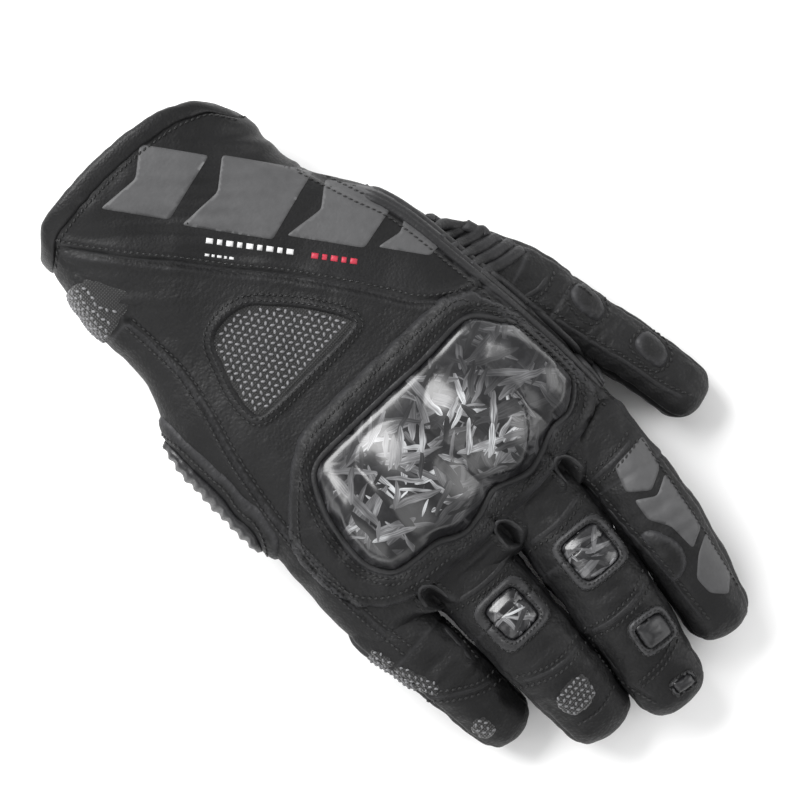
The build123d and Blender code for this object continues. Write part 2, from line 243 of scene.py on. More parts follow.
class Ground:
    """Everything laid so far, which later pieces are dropped on."""

    def __init__(self):
        self.verts, self.faces, self.count, self.tree = [], [], 0, None

    def add(self, verts, faces):
        self.verts.append(np.asarray(verts, float))
        self.faces += [tuple(int(v) + self.count for v in f) for f in faces]
        self.count += len(verts)
        self.tree = None

    def ready(self):
        if self.tree is None:
            self.tree = BVHTree.FromPolygons(np.vstack(self.verts).tolist(), self.faces)
        return self.tree


GROUND = Ground()
VIEWS = {  # axes of the outline's plane and the way a piece is dropped
    "top": ((1, 0, 0), (0, 1, 0), (0, 0, -1)),
    "bottom": ((1, 0, 0), (0, 1, 0), (0, 0, 1)),
    "outer": ((0, 1, 0), (0, 0, 1), (-1, 0, 0)),
}
DROP_START = 200         # how far above the outline's plane a piece is dropped from, in millimetres
MISSED_START = 24        # a point that falls past the ground goes to what is nearest this far above it


def drop(points, view="top"):
    """Lays plane points on the ground; returns where they land and the surface's normals."""
    u, v, way = (np.array(a, float) for a in VIEWS[view])
    tree = GROUND.ready()
    fall = Vector(way)
    landed = np.zeros((len(points), 3))
    normals = np.zeros((len(points), 3))
    for i, (a, b) in enumerate(points):
        hit, normal, _, _ = tree.ray_cast(Vector(u * a + v * b - way * DROP_START), fall)
        if hit is None:
            hit, normal, _, _ = tree.find_nearest(Vector(u * a + v * b - way * MISSED_START))
        if normal.dot(fall) > 0:
            normal = -normal
        landed[i] = hit
        normals[i] = normal
    return landed, normals


def fill_outline(outline, holes=(), step=1.2):
    """Triangulates an outline in plan with even points inside; returns points and triangles."""
    low, high = outline.min(0), outline.max(0)
    xs = np.arange(low[0], high[0] + step, step)
    ys = np.arange(low[1], high[1] + step, step * 0.87)
    gx, gy = np.meshgrid(xs, ys)
    gx = gx + (np.arange(len(ys)) % 2)[:, None] * step / 2
    inner = np.stack([gx.ravel(), gy.ravel()], axis=1)
    keep = inside(inner, outline) & (to_line(inner, outline, True)[0] > step * 0.55)
    for hole in holes:
        keep &= ~inside(inner, hole) & (to_line(inner, hole, True)[0] > step * 0.55)
    inner = inner[keep]
    loops = [outline, *holes]
    points = np.vstack([*loops, inner])
    edges, begin = [], 0
    for loop in loops:
        edges += [(begin + i, begin + (i + 1) % len(loop)) for i in range(len(loop))]
        begin += len(loop)
    made = geometry.delaunay_2d_cdt([Vector(p) for p in points], edges, [], 0, 1e-4)
    points = np.array([tuple(p) for p in made[0]])
    faces = np.array([f for f in made[2] if len(f) == 3])
    middle = points[faces].mean(1)
    good = inside(middle, outline)
    for hole in holes:
        good &= ~inside(middle, hole)
    faces = faces[good]
    a, b, c = points[faces[:, 0]], points[faces[:, 1]], points[faces[:, 2]]
    turn = (b[:, 0] - a[:, 0]) * (c[:, 1] - a[:, 1]) - (b[:, 1] - a[:, 1]) * (c[:, 0] - a[:, 0])
    faces[turn < 0] = faces[turn < 0][:, ::-1]
    return points, faces


def thicken(obj, thickness):
    """Closes an open sheet with a back face, so that the piece is a solid one."""
    solid = obj.modifiers.new("thickness", "SOLIDIFY")
    solid.thickness = thickness * MM
    solid.offset = -1
    apply_modifiers(obj)


def apply_modifiers(obj):
    """Replaces the mesh by what its modifiers make of it."""
    depsgraph = bpy.context.evaluated_depsgraph_get()
    mesh = bpy.data.meshes.new_from_object(obj.evaluated_get(depsgraph))
    obj.modifiers.clear()
    obj.data = mesh


PUFF_SCALE = 20          # cloth is simulated this much larger, where its settings suit a cushion
PUFF_PRESSURE = 4.0
PUFF_FRAMES = 12
RUNAWAY = 30             # a point that moved further than this, in millimetres, stays where it was


def puff(verts, faces, border, limit):
    """Cloth simulation of a stuffed panel held at its border; a point moves at most the limit."""
    obj = new_object("puff", new_mesh("puff", verts * MM * PUFF_SCALE, faces))
    obj.vertex_groups.new(name="held").add([int(i) for i in np.nonzero(border)[0]], 1.0, "REPLACE")
    cloth = obj.modifiers.new("cloth", "CLOTH")
    cloth.settings.vertex_group_mass = "held"
    cloth.settings.use_pressure = True
    cloth.settings.uniform_pressure_force = PUFF_PRESSURE
    cloth.settings.effector_weights.gravity = 0
    cloth.settings.quality = 6
    cloth.point_cache.frame_start, cloth.point_cache.frame_end = 1, PUFF_FRAMES
    for number in range(1, PUFF_FRAMES + 1):
        bpy.context.scene.frame_set(number)
    shown = obj.evaluated_get(bpy.context.evaluated_depsgraph_get()).to_mesh()
    moved = np.array([v.co for v in shown.vertices], float) / MM / PUFF_SCALE - verts
    bpy.context.scene.frame_set(1)
    bpy.data.objects.remove(obj)
    size = np.linalg.norm(moved, axis=1)[:, None]
    return verts + moved * np.minimum(1, limit / np.maximum(size, 1e-6)) * (size < RUNAWAY)


CHANNEL_WIDTH = 0.65     # half width of a sewn channel
HELD_BORDER = 0.8        # width of the border that holds a stuffed panel


def plate(name, outline, material, lift, view="top", holes=(), roll=1.6, sink=0.35, shape=None,
          step=1.2, back=0.7, ground=True, channels=(), stuffed=0.0):
    """Panel laid on the ground: its edges roll down over a width, and shape adds to its height."""
    points, faces = fill_outline(outline, holes, step)
    d = to_line(points, outline, True)[0]
    for hole in holes:
        d = np.minimum(d, to_line(points, hole, True)[0])
    t = np.clip(d / roll, 0, 1)
    height = -sink + (lift + sink) * np.sqrt(np.maximum(0, 1 - (1 - t) ** 2))
    for at, depth in channels:
        height -= depth * dip(d - at, CHANNEL_WIDTH)
    if shape is not None:
        height = height + shape(points, d)
    where, normals = drop(points, view)
    verts = where + normals * height[:, None]
    u, v, way = (np.array(a, float) for a in VIEWS[view])
    if np.cross(u, v) @ way > 0:
        faces = faces[:, ::-1]
    if stuffed:
        verts = puff(verts, faces, d < HELD_BORDER, stuffed)
    obj = new_piece(name, verts, faces, material)
    if ground:
        GROUND.add(verts, faces)
    if back:
        thicken(obj, back)
    return obj


def frames_along(line):
    """Unit tangents of a line of 3-D points."""
    run = np.gradient(line, axis=0)
    return run / np.maximum(np.linalg.norm(run, axis=1), 1e-9)[:, None]


BEAD_SIDES, BEAD_RINGS = 6, 4


def beads(name, centres, ways, normals, size, material):
    """Many small rounded grains in one mesh, such as stitches: size is along, across, high."""
    along, across, high = (np.broadcast_to(np.asarray(s, float), len(centres)) for s in size)
    lat = np.linspace(0, math.pi, BEAD_RINGS + 1)[1:-1]
    lon = np.linspace(0, TAU, BEAD_SIDES, endpoint=False)
    local = [(-1.0, 0.0, 0.0)]
    for a in lat:
        local += [(-math.cos(a), math.sin(a) * math.cos(b), math.sin(a) * math.sin(b)) for b in lon]
    local.append((1.0, 0.0, 0.0))
    local = np.array(local)
    count = len(local)
    quads = []
    for i in range(len(lat) - 1):
        for j in range(BEAD_SIDES):
            k = (j + 1) % BEAD_SIDES
            a = 1 + i * BEAD_SIDES
            quads.append((a + j, a + BEAD_SIDES + j, a + BEAD_SIDES + k, a + k))
    ends = [(0, 1 + j, 1 + (j + 1) % BEAD_SIDES) for j in range(BEAD_SIDES)]
    last = 1 + (len(lat) - 1) * BEAD_SIDES
    ends += [(count - 1, last + (j + 1) % BEAD_SIDES, last + j) for j in range(BEAD_SIDES)]
    verts, faces = [], []
    for i, (c, w, n) in enumerate(zip(centres, ways, normals)):
        w = w - n * (w @ n)
        w = w / max(np.linalg.norm(w), 1e-9)
        s = np.cross(n, w)
        verts.append(c + local[:, :1] * w * along[i] + local[:, 1:2] * s * across[i]
                     + local[:, 2:] * n * high[i])
        faces += [tuple(v + i * count for v in f) for f in quads + ends]
    return new_piece(name, np.vstack(verts), faces, material)


STITCH_LIFT = 0.12
STITCH_TURN = math.tan(math.radians(18.0))    # each stitch lies a little across its row


def stitches(name, line, view="top", pitch=2.0, size=(0.82, 0.4, 0.34)):
    """A row of thread stitches along a plan line, laid on the ground."""
    line = resample(np.asarray(line, float), pitch)
    middle = (line[1:] + line[:-1]) / 2
    where, normals = drop(middle, view)
    ends, _ = drop(line, view)
    ways = ends[1:] - ends[:-1]
    sane = np.linalg.norm(ways, axis=1) < 3 * pitch
    where, normals, ways = where[sane], normals[sane], ways[sane]
    ways = ways + np.cross(normals, ways) * STITCH_TURN
    return beads(name, where + normals * STITCH_LIFT, ways, normals, size, THREAD)


def offset_line(line, by, closed=False):
    """The line moved to its left by a distance, in plan."""
    line = np.asarray(line, float)
    if closed:
        run = np.roll(line, -1, axis=0) - np.roll(line, 1, axis=0)
    else:
        run = np.gradient(line, axis=0)
    run /= np.maximum(np.linalg.norm(run, axis=1), 1e-9)[:, None]
    return line + np.stack([-run[:, 1], run[:, 0]], axis=1) * by


def grown(outline, by):
    """A closed outline moved outwards by a distance, or inwards if it is negative."""
    moved = offset_line(outline, by, True)
    is_out = not inside(moved[:1], outline)[0]
    return moved if is_out == (by > 0) else offset_line(outline, -by, True)


RIDGE_SIDES = 10


def ridge(name, line, material, view="top", radius=1.2, squash=0.75, sink=0.25):
    """A rolled seam or piping: a half-sunk tube laid along a plan line."""
    line = resample(np.asarray(line, float), 1.2)
    where, normals = drop(line, view)
    for _ in range(3):
        where[1:-1] = (where[:-2] + 2 * where[1:-1] + where[2:]) / 4
        normals[1:-1] = (normals[:-2] + 2 * normals[1:-1] + normals[2:]) / 4
    normals /= np.linalg.norm(normals, axis=1)[:, None]
    tangents = frames_along(where)
    sideways = np.cross(tangents, normals)
    sideways /= np.maximum(np.linalg.norm(sideways, axis=1), 1e-9)[:, None]
    t = np.linspace(0, 1, len(where))
    taper = np.clip(np.minimum(t, 1 - t) * len(where) / 3, 0.15, 1) ** 0.5
    ring = []
    for j in range(RIDGE_SIDES):
        a = TAU * j / RIDGE_SIDES
        out = sideways * math.cos(a) + normals * math.sin(a) * squash
        ring.append(where - normals * sink + out * radius * taper[:, None])
    verts = np.stack(ring, axis=1).reshape(-1, 3)
    faces = [f[::-1] for f in grid_faces(len(where), RIDGE_SIDES, True)]
    begin, end = list(range(RIDGE_SIDES)), list(range(len(verts) - RIDGE_SIDES, len(verts)))
    faces += [begin, end[::-1]]
    GROUND.add(verts, triangles(faces))
    return new_piece(name, verts, faces, material)


# ------------------------------------------------------------------ materials
class Nodes:
    """Short way to build a material's node tree."""

    def __init__(self, name):
        self.material = bpy.data.materials.new(name)
        self.material.use_nodes = True
        self.tree = self.material.node_tree
        self.tree.nodes.clear()
        self.out = self.tree.nodes.new("ShaderNodeOutputMaterial")
        self.shader = self.add("ShaderNodeBsdfPrincipled")
        self.link(self.shader, "BSDF", self.out, "Surface")
        self.rest = self.add("ShaderNodeAttribute", attribute_name="rest")
        self.height = None

    def add(self, kind, **settings):
        node = self.tree.nodes.new(kind)
        for key, value in settings.items():
            setattr(node, key, value)
        return node

    def link(self, a, output, b, socket):
        self.tree.links.new(a.outputs[output], b.inputs[socket])

    def mapped(self, scale=(1, 1, 1), turn=(0, 0, 0)):
        node = self.add("ShaderNodeMapping")
        node.inputs["Scale"].default_value = scale
        node.inputs["Rotation"].default_value = [math.radians(a) for a in turn]
        self.link(self.rest, "Vector", node, "Vector")
        return node

    def noise(self, scale, detail=3.0, source=None, roughness=0.5):
        node = self.add("ShaderNodeTexNoise")
        node.inputs["Scale"].default_value = scale
        node.inputs["Detail"].default_value = detail
        node.inputs["Roughness"].default_value = roughness
        self.link(source or self.rest, "Vector", node, "Vector")
        return node

    def cells(self, scale, source=None, feature="F1"):
        node = self.add("ShaderNodeTexVoronoi", feature=feature)
        node.inputs["Scale"].default_value = scale
        self.link(source or self.rest, "Vector", node, "Vector")
        return node

    def ramp(self, source, output, stops):
        node = self.add("ShaderNodeValToRGB")
        element = node.color_ramp.elements
        while len(element) < len(stops):
            element.new(0.5)
        for e, (at, colour) in zip(element, stops):
            e.position = at
            e.color = (*colour, 1) if len(colour) == 3 else colour
        self.link(source, output, node, "Fac")
        return node

    def math(self, operation, a, b=None, out_a="Value", out_b="Value", value=0.5):
        node = self.add("ShaderNodeMath", operation=operation)
        self.tree.links.new(a.outputs[out_a], node.inputs[0])
        if b is not None:
            self.tree.links.new(b.outputs[out_b], node.inputs[1])
        else:
            node.inputs[1].default_value = value
        return node

    def mix(self, factor, output, a, b):
        """Mixes two colours, each a node with its output or plain RGB; returns the same kind of pair."""
        node = self.add("ShaderNodeMix", data_type="RGBA")
        self.link(factor, output, node, 0)
        sockets = [socket for socket in node.inputs if socket.type == "RGBA"]
        for socket, source in zip(sockets, (a, b)):
            if len(source) == 3:
                socket.default_value = (*source, 1)
            else:
                self.tree.links.new(source[0].outputs[source[1]], socket)
        return node, [i for i, socket in enumerate(node.outputs) if socket.type == "RGBA"][0]

    def bump(self, source, output, distance, strength=1.0):
        node = self.add("ShaderNodeBump")
        node.inputs["Distance"].default_value = distance
        node.inputs["Strength"].default_value = strength
        self.link(source, output, node, "Height")
        if self.height is not None:
            self.link(self.height, "Normal", node, "Normal")
        self.height = node
        self.link(node, "Normal", self.shader, "Normal")

    def colour(self, source, output="Color"):
        self.link(source, output, self.shader, "Base Color")

    def set(self, values):
        for socket, value in values.items():
            self.shader.inputs[socket].default_value = value


def grey(level, blue=None):
    """RGB of a grey, with its own blue where that differs."""
    return level, level, level if blue is None else blue


def leather(name, dark, light, worn, rough=(0.42, 0.62), grain=0.95, depth=0.00014, wrinkle=0.0006,
            specular=0.25):
    """Black leather: pebbled grain, soft wrinkles, uneven dye, and paler wear on raised edges."""
    n = Nodes(name)
    pebbles = n.cells(grain, feature="SMOOTH_F1")
    pebbles.inputs["Smoothness"].default_value = 0.35
    fine = n.noise(2.6, 4.0)
    folds = n.noise(0.16, 5.0, n.mapped((1.0, 1.7, 1.0), (0, 0, 25)), 0.62)
    tone = n.noise(0.05, 4.0)
    pores = n.math("MULTIPLY_ADD", fine, out_a="Fac", value=0.35)
    n.link(pebbles, "Distance", pores, 2)
    body = n.ramp(tone, "Fac", [(0.3, dark), (0.7, light)])
    edges = n.add("ShaderNodeNewGeometry")
    wear = n.ramp(edges, "Pointiness", [(0.52, (0, 0, 0)), (0.6, (1, 1, 1))])
    n.colour(*n.mix(wear, "Color", (body, "Color"), worn))
    gloss = n.ramp(pebbles, "Distance", [(0.0, (rough[0],) * 3), (0.8, (rough[1],) * 3)])
    n.link(gloss, "Color", n.shader, "Roughness")
    n.bump(folds, "Fac", wrinkle, 0.8)
    n.bump(pores, "Value", depth, 0.9)
    n.set({"Specular IOR Level": specular})
    return n.material


TOW_LAYERS = 11          # layers of chopped fibre seen through the resin


def forged_carbon(name, painted_highlight_low_z, painted_highlight_high_z, size=1.0):
    """Glossy dark resin with slivers of chopped fibre every way, and a painted highlight on the slivers:
    dim at the first height given and pale at the second, so that the domes' tops look lit.
    """
    n = Nodes(name)
    height = n.add("ShaderNodeSeparateXYZ")
    n.link(n.rest, "Vector", height, "Vector")
    # Painted highlight: a factor from 0.34 to 1 that rises with the surface's rest height, paling the
    # slivers on the domes' tops.
    crown = n.add("ShaderNodeMapRange", interpolation_type="SMOOTHSTEP")
    for socket, value in (("From Min", painted_highlight_low_z), ("From Max", painted_highlight_high_z), ("To Min", 0.34), ("To Max", 1)):
        crown.inputs[socket].default_value = value
    n.link(height, "Z", crown, "Value")
    # Random dimming, times the painted highlight.
    depth = n.math("MULTIPLY", n.noise(0.11, 2.0), crown, out_a="Fac", out_b="Result")
    base = n.ramp(n.noise(0.3, 3.0), "Fac", [(0.4, grey(0.004, 0.005)), (0.8, grey(0.02, 0.022))])
    colour = (base, "Color")
    for layer in range(TOW_LAYERS):
        turn = layer * 67.0 % 180
        wide = size * (1.6 + 0.2 * (layer * 5 % 7))
        long = size * (10.0 + 2.2 * (layer * 3 % 5))
        warp = n.noise(0.15, 1.0)
        bent = n.add("ShaderNodeVectorMath", operation="MULTIPLY_ADD")
        n.link(warp, "Color", bent, 0)
        bent.inputs[1].default_value = (2.0, 2.0, 0.0)
        n.link(n.rest, "Vector", bent, 2)
        place = n.add("ShaderNodeMapping", vector_type="TEXTURE")
        place.inputs["Rotation"].default_value = (0, 0, math.radians(turn))
        place.inputs["Scale"].default_value = (wide, long, 60.0)
        place.inputs["Location"].default_value = (layer * 13.7, layer * 5.1, layer * 60.0)
        n.link(bent, "Vector", place, "Vector")
        sliver = n.cells(1.0, place)
        pick = n.add("ShaderNodeSeparateColor")
        n.link(sliver, "Color", pick, "Color")
        chosen = n.math("GREATER_THAN", pick, out_a="Red", value=0.6)
        rim = n.math("LESS_THAN", sliver, out_a="Distance", value=0.44)
        mask = n.math("MULTIPLY", chosen, rim)
        fibre = n.add("ShaderNodeMapping", vector_type="TEXTURE")
        fibre.inputs["Rotation"].default_value = (0, 0, math.radians(turn))
        fibre.inputs["Scale"].default_value = (0.35, 9.0, 60.0)
        n.link(bent, "Vector", fibre, "Vector")
        streaks = n.noise(1.0, 2.0, fibre)
        shade = n.math("MULTIPLY", pick, streaks, out_a="Green", out_b="Fac")
        # Each sliver's own random tone, times the random dimming and the painted highlight.
        lit = n.math("MULTIPLY", shade, depth)
        pale = n.ramp(lit, "Value", [(0.02, grey(0.006, 0.007)), (0.07, grey(0.035, 0.037)),
                                     (0.17, grey(0.13, 0.135)), (0.30, (0.42, 0.43, 0.44))])
        colour = n.mix(mask, "Value", colour, (pale, "Color"))
    n.colour(*colour)
    n.bump(n.noise(0.3, 2.0), "Fac", 0.0002, 0.3)
    n.set({"Roughness": 0.33, "Coat Weight": 0.45, "Coat Roughness": 0.2, "Specular IOR Level": 0.4})
    return n.material


def printed(name, colour, rough=0.6):
    """Matt print on leather: the grain shows through, and it is thin in places."""
    n = Nodes(name)
    pebbles = n.cells(0.95, feature="SMOOTH_F1")
    thin = n.noise(0.35, 5.0)
    tint = n.ramp(thin, "Fac", [(0.25, tuple(c * 0.8 for c in colour)), (0.75, colour)])
    n.colour(tint)
    n.bump(pebbles, "Distance", 0.0001, 0.7)
    n.set({"Roughness": rough})
    return n.material


def thread(name, colour):
    """Twisted polyester thread."""
    n = Nodes(name)
    twist = n.add("ShaderNodeTexWave", wave_type="BANDS", bands_direction="DIAGONAL")
    twist.inputs["Scale"].default_value = 1.4
    n.link(n.rest, "Vector", twist, "Vector")
    tint = n.ramp(twist, "Fac", [(0.2, tuple(c * 0.5 for c in colour)), (0.8, colour)])
    n.colour(tint)
    n.bump(twist, "Fac", 0.00008, 0.8)
    n.set({"Roughness": 0.42, "Specular IOR Level": 0.35})
    return n.material


def woven(name, dark, light, pitch, rough=0.85, depth=0.00025, sheen=0.3):
    """Knitted or woven fabric with its threads crossing at a pitch in millimetres."""
    n = Nodes(name)
    across = n.add("ShaderNodeTexWave", wave_type="BANDS", bands_direction="X")
    along = n.add("ShaderNodeTexWave", wave_type="BANDS", bands_direction="Y")
    for wave in (across, along):
        wave.inputs["Scale"].default_value = 1 / pitch / 3.2
        wave.inputs["Distortion"].default_value = 0.6
        n.link(n.rest, "Vector", wave, "Vector")
    cross = n.math("MULTIPLY", across, along, out_a="Fac", out_b="Fac")
    tint = n.ramp(cross, "Value", [(0.1, dark), (0.8, light)])
    n.colour(tint)
    n.bump(cross, "Value", depth, 0.9)
    n.bump(n.noise(3.0, 4.0), "Fac", 0.00006, 0.6)
    n.set({"Roughness": rough, "Sheen Weight": sheen})
    return n.material


def moulded(name, colour, rough=0.35, texture=1.6, depth=0.00006):
    """Moulded plastic or rubber with a fine spark-eroded surface and scuffs."""
    n = Nodes(name)
    scuff = n.noise(0.5, 6.0, n.mapped((1, 5, 1), (0, 0, 30)), 0.7)
    tint = n.ramp(scuff, "Fac", [(0.45, colour), (0.8, tuple(c * 2.2 for c in colour))])
    n.colour(tint)
    rough_ramp = n.ramp(scuff, "Fac", [(0.3, (rough,) * 3), (0.75, (min(rough + 0.25, 1),) * 3)])
    n.link(rough_ramp, "Color", n.shader, "Roughness")
    n.bump(n.noise(texture, 4.0), "Fac", depth, 0.7)
    return n.material


LEATHER = leather("black_leather", grey(0.0045, 0.0048), grey(0.0095, 0.010), grey(0.03, 0.032))
SMOOTH = leather("smooth_leather", grey(0.004, 0.0043), grey(0.008, 0.0085),
                 grey(0.026, 0.027), rough=(0.4, 0.55), grain=1.15, depth=0.00007, wrinkle=0.0003)
PALM = leather("palm_leather", grey(0.010, 0.011), grey(0.019, 0.02), grey(0.045, 0.047),
               rough=(0.62, 0.8), grain=1.4, depth=0.0001, wrinkle=0.0004, specular=0.2)
ROLLED = leather("rolled_leather", grey(0.005, 0.0053), grey(0.010, 0.0105),
                 grey(0.045, 0.047), rough=(0.36, 0.52), grain=1.2, depth=0.0001, wrinkle=0.0002)
# The two heights are where each finish's painted highlight is dimmest and palest.
CARBON = forged_carbon("forged_carbon", 46.5, 54.0, 1.35)
LENS = forged_carbon("slider_composite", 30.0, 50.0, 1.2)
GREY_PRINT = printed("grey_print", grey(0.062, 0.064))
WHITE_PRINT = printed("white_print", grey(0.62), 0.5)
RED_PRINT = printed("red_print", (0.42, 0.02, 0.045), 0.5)
THREAD = thread("black_thread", grey(0.017, 0.0175))
DOTS = moulded("mesh_dots", grey(0.12, 0.125), 0.45, 2.0)
MESH = woven("mesh_fabric", grey(0.004), grey(0.02, 0.021), 0.8)
LINING = woven("knit_lining", grey(0.012, 0.013), grey(0.04, 0.043), 0.9)
FOAM = woven("foam", grey(0.01), grey(0.03), 0.5, 0.95)
NYLON = moulded("hard_nylon", grey(0.008, 0.009), 0.3)
STRAP = leather("strap_leather", grey(0.012, 0.013), grey(0.02, 0.022), grey(0.05, 0.052),
                grain=1.3, depth=0.00008)
HOOK = moulded("hook_tape", grey(0.012), 0.5, 3.0, 0.0002)
LOOP = woven("loop_tape", grey(0.006), grey(0.03, 0.032), 0.35, 0.95, 0.0004, 0.8)


# ------------------------------------------------------------------ rigging
def zone(joint, forward, before, after):
    """Start and end, in metres, of the stretch of leather that bends about a hinge."""
    centre = pivot(joint)
    return tuple((centre - forward * before) * MM), tuple((centre + forward * after) * MM)


def attach(obj, where, slot, *nodes, padded=None):
    """Rides a finished piece on a body, or leaves it fixed in place for a digit's hinge; its slot is not
    used.
    """
    keep_rest(obj)
    if isinstance(where, tuple):
        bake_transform(obj)
    else:
        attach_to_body(obj, where)
    if nodes:
        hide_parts(*nodes)


def lay(name, outline, material, lift, where, slot, *nodes, padded=None, **how):
    """A plate that is attached as soon as it lies on the ground."""
    attach(plate(name, outline, material, lift, **how), where, slot, *nodes, padded=padded)


def roll_seam(name, line, material, where="hand", slot="piping", *nodes, **how):
    """A ridge that is attached."""
    attach(ridge(name, line, material, **how), where, slot, *nodes)


def sew_row(name, line, where="hand", slot="piping", **how):
    """A row of stitches that is attached."""
    attach(stitches(name, line, **how), where, slot)


# ------------------------------------------------------------------ skins made on grids
def grid_normals(points):
    """Outward normals of a grid whose rows run forward and whose columns turn from side to back."""
    ahead = np.gradient(points, axis=0)
    around = np.roll(points, -1, axis=1) - np.roll(points, 1, axis=1)
    normal = np.cross(ahead, around)
    return normal / np.maximum(np.linalg.norm(normal, axis=2), 1e-9)[..., None]


def shell(name, points, normals, mask, thickness, material):
    """One leather panel cut out of a grid: outer and inner face and the cut edge between them."""
    rows, cols = points.shape[:2]
    i, j = np.nonzero(mask)
    k = (j + 1) % cols
    faces = np.stack([i * cols + j, (i + 1) * cols + j, (i + 1) * cols + k, i * cols + k], axis=1)
    used, faces = np.unique(faces, return_inverse=True)
    faces = faces.reshape(-1, 4)
    count = len(used)
    outer = points.reshape(-1, 3)[used]
    normal = normals.reshape(-1, 3)[used]
    a, b = faces.ravel(), np.roll(faces, -1, axis=1).ravel()
    edge = ~np.isin(a * count + b, b * count + a)
    a, b = a[edge], b[edge]
    rim = np.stack([b, a, a + count, b + count], axis=1)
    every = np.vstack([faces, faces[:, ::-1] + count, rim])
    obj = new_piece(name, np.vstack([outer, outer - normal * thickness]), every, material)
    obj.data.normals_split_custom_set_from_vertices(np.vstack([normal, -normal]).tolist())
    return obj


def blur(values, sigma):
    """Gaussian smoothing down the first axis with the ends kept."""
    reach = int(sigma * 3)
    kernel = np.exp(-0.5 * (np.arange(-reach, reach + 1) / sigma) ** 2)
    kernel /= kernel.sum()
    start = 2 * values[:1] - values[1:reach + 1][::-1]
    end = 2 * values[-1:] - values[-reach - 1:-1][::-1]
    padded = np.concatenate([start, values, end])
    return np.stack([np.convolve(column, kernel, "valid") for column in padded.T], axis=1)


# ------------------------------------------------------------------ the hand
# y, outermost x on the thumb side and on the little-finger side, lowest and highest z
HAND_TABLE = np.array([
    (-134, -36.0, 38.0, 4.2, 49.0), (-125, -37.0, 38.0, 4.2, 48.8), (-110, -38.3, 38.7, 4.2, 47.5),
    (-100, -38.0, 42.0, 4.2, 46.8), (-90, -37.6, 44.0, 4.2, 45.5), (-77, -39.5, 43.0, 4.0, 44.2),
    (-68, -44.0, 44.0, 3.4, 43.8), (-58, -50.0, 48.0, 2.6, 43.5), (-48, -53.5, 53.5, 2.4, 44.0),
    (-35, -55.5, 55.3, 2.2, 44.5), (-10, -57.0, 55.5, 2.2, 45.0), (8, -56.0, 57.0, 2.3, 44.8),
    (25, -55.0, 59.0, 3.2, 43.5), (40, -54.2, 59.3, 5.2, 40.5), (50, -54.0, 58.5, 6.8, 37.8),
    (64, -54.0, 58.0, 8.0, 36.5)], float)
HAND_Y = np.arange(HAND_TABLE[0, 0], HAND_TABLE[-1, 0], 0.5)
HAND_SHAPE = blur(np.stack([np.interp(HAND_Y, HAND_TABLE[:, 0], column)
                            for column in HAND_TABLE[:, 1:].T], axis=1), 7)
CUFF_END, FRONT = -126.0, 50.0
WRIST_SEAM = -66.0       # seam across the palm between the hand and the cuff
MID_HEIGHT = 22.5        # divides the back from the palm
BOTTOM_TURN = math.radians(-24)          # seam between the outer side and the palm
WRIST_X = 12.0           # where the cuff reaches furthest back
KNUCKLE_LINES = ((-26.5, 2.3), (1.0, 2.3), (32.5, 2.5))   # valleys between the fingers: x, half width


def hand_point(row, turn, grow=0.0):
    """Point of the hand's skin; turn 0 is the little-finger side and a quarter turn the back."""
    c, s = np.cos(turn), np.sin(turn)
    power = np.where(s >= 0, 2.7, np.where(c < 0, 2.1, 3.2))
    across = np.sign(c) * np.abs(c) ** (2 / power)
    upward = np.sign(s) * np.abs(s) ** (2 / power)

    def at(y):
        low, high, base, top = (np.interp(y, HAND_Y, col) for col in HAND_SHAPE.T)
        x = (low + high) / 2 + ((high - low) / 2 + grow) * across
        z = (base + top) / 2 + ((top - base) / 2 + grow) * upward
        return x, z

    x, z = at(row)
    reach = (x - WRIST_X) / 38
    rise = (5 * reach**2 + 9 * np.abs(reach * 0.76) ** 6 + 5 * smoothstep(-30, -38, x)
            + 4.5 * smoothstep(29, 38, x))
    recede = 9 * smoothstep(28, 44, x) + 6 * (1 - smoothstep(8, 24, z))
    y = row + rise * (1 - smoothstep(CUFF_END, -98, row)) - recede * smoothstep(8, FRONT, row)
    x, z = at(y)
    return np.stack([x, y, z], axis=-1)


def even_turns(count):
    """Angles that space the columns evenly round the middle of the hand."""
    fine = np.linspace(-math.pi, math.pi, 4001)
    length = lengths_along(hand_point(np.full(len(fine), -10.0), fine))
    return np.interp(np.linspace(0, length[-1], count, endpoint=False), length, fine)


CUFF_SEAM = curve_through([(36, -125), (30, -114), (20, -99), (10, -86), (0, -72), (-10, -59),
                           (-20, -44), (-28, -31), (-34, -21), (-44, -13), (-54, -10)])
OUTER_START, INNER_START = -84, -78      # where the two side panels begin
OUTER_SEAM = curve_through([(34, OUTER_START), (34, -68), (34.5, -60), (38, -45), (43, -30),
                            (47.5, -10), (49.5, 4), (51, 30), (50, 52)])
INNER_SEAM = curve_through([(-39, INNER_START), (-44, -60), (-48.5, -45), (-50.5, -20), (-51.5, 0),
                            (-52, 20), (-51.5, 45)])
MESH_EDGE = curve_through([(-14, -34), (-12, -31.5), (6, -31.8), (25, -33), (28, -36), (27, -44),
                           (24, -52), (20, -60), (13, -62), (5, -60), (-1, -54), (-8, -45)], closed=True)
COLUMNS = 260
TURNS = even_turns(COLUMNS)
ROWS = np.arange(CUFF_END, FRONT + 0.4, 0.85)


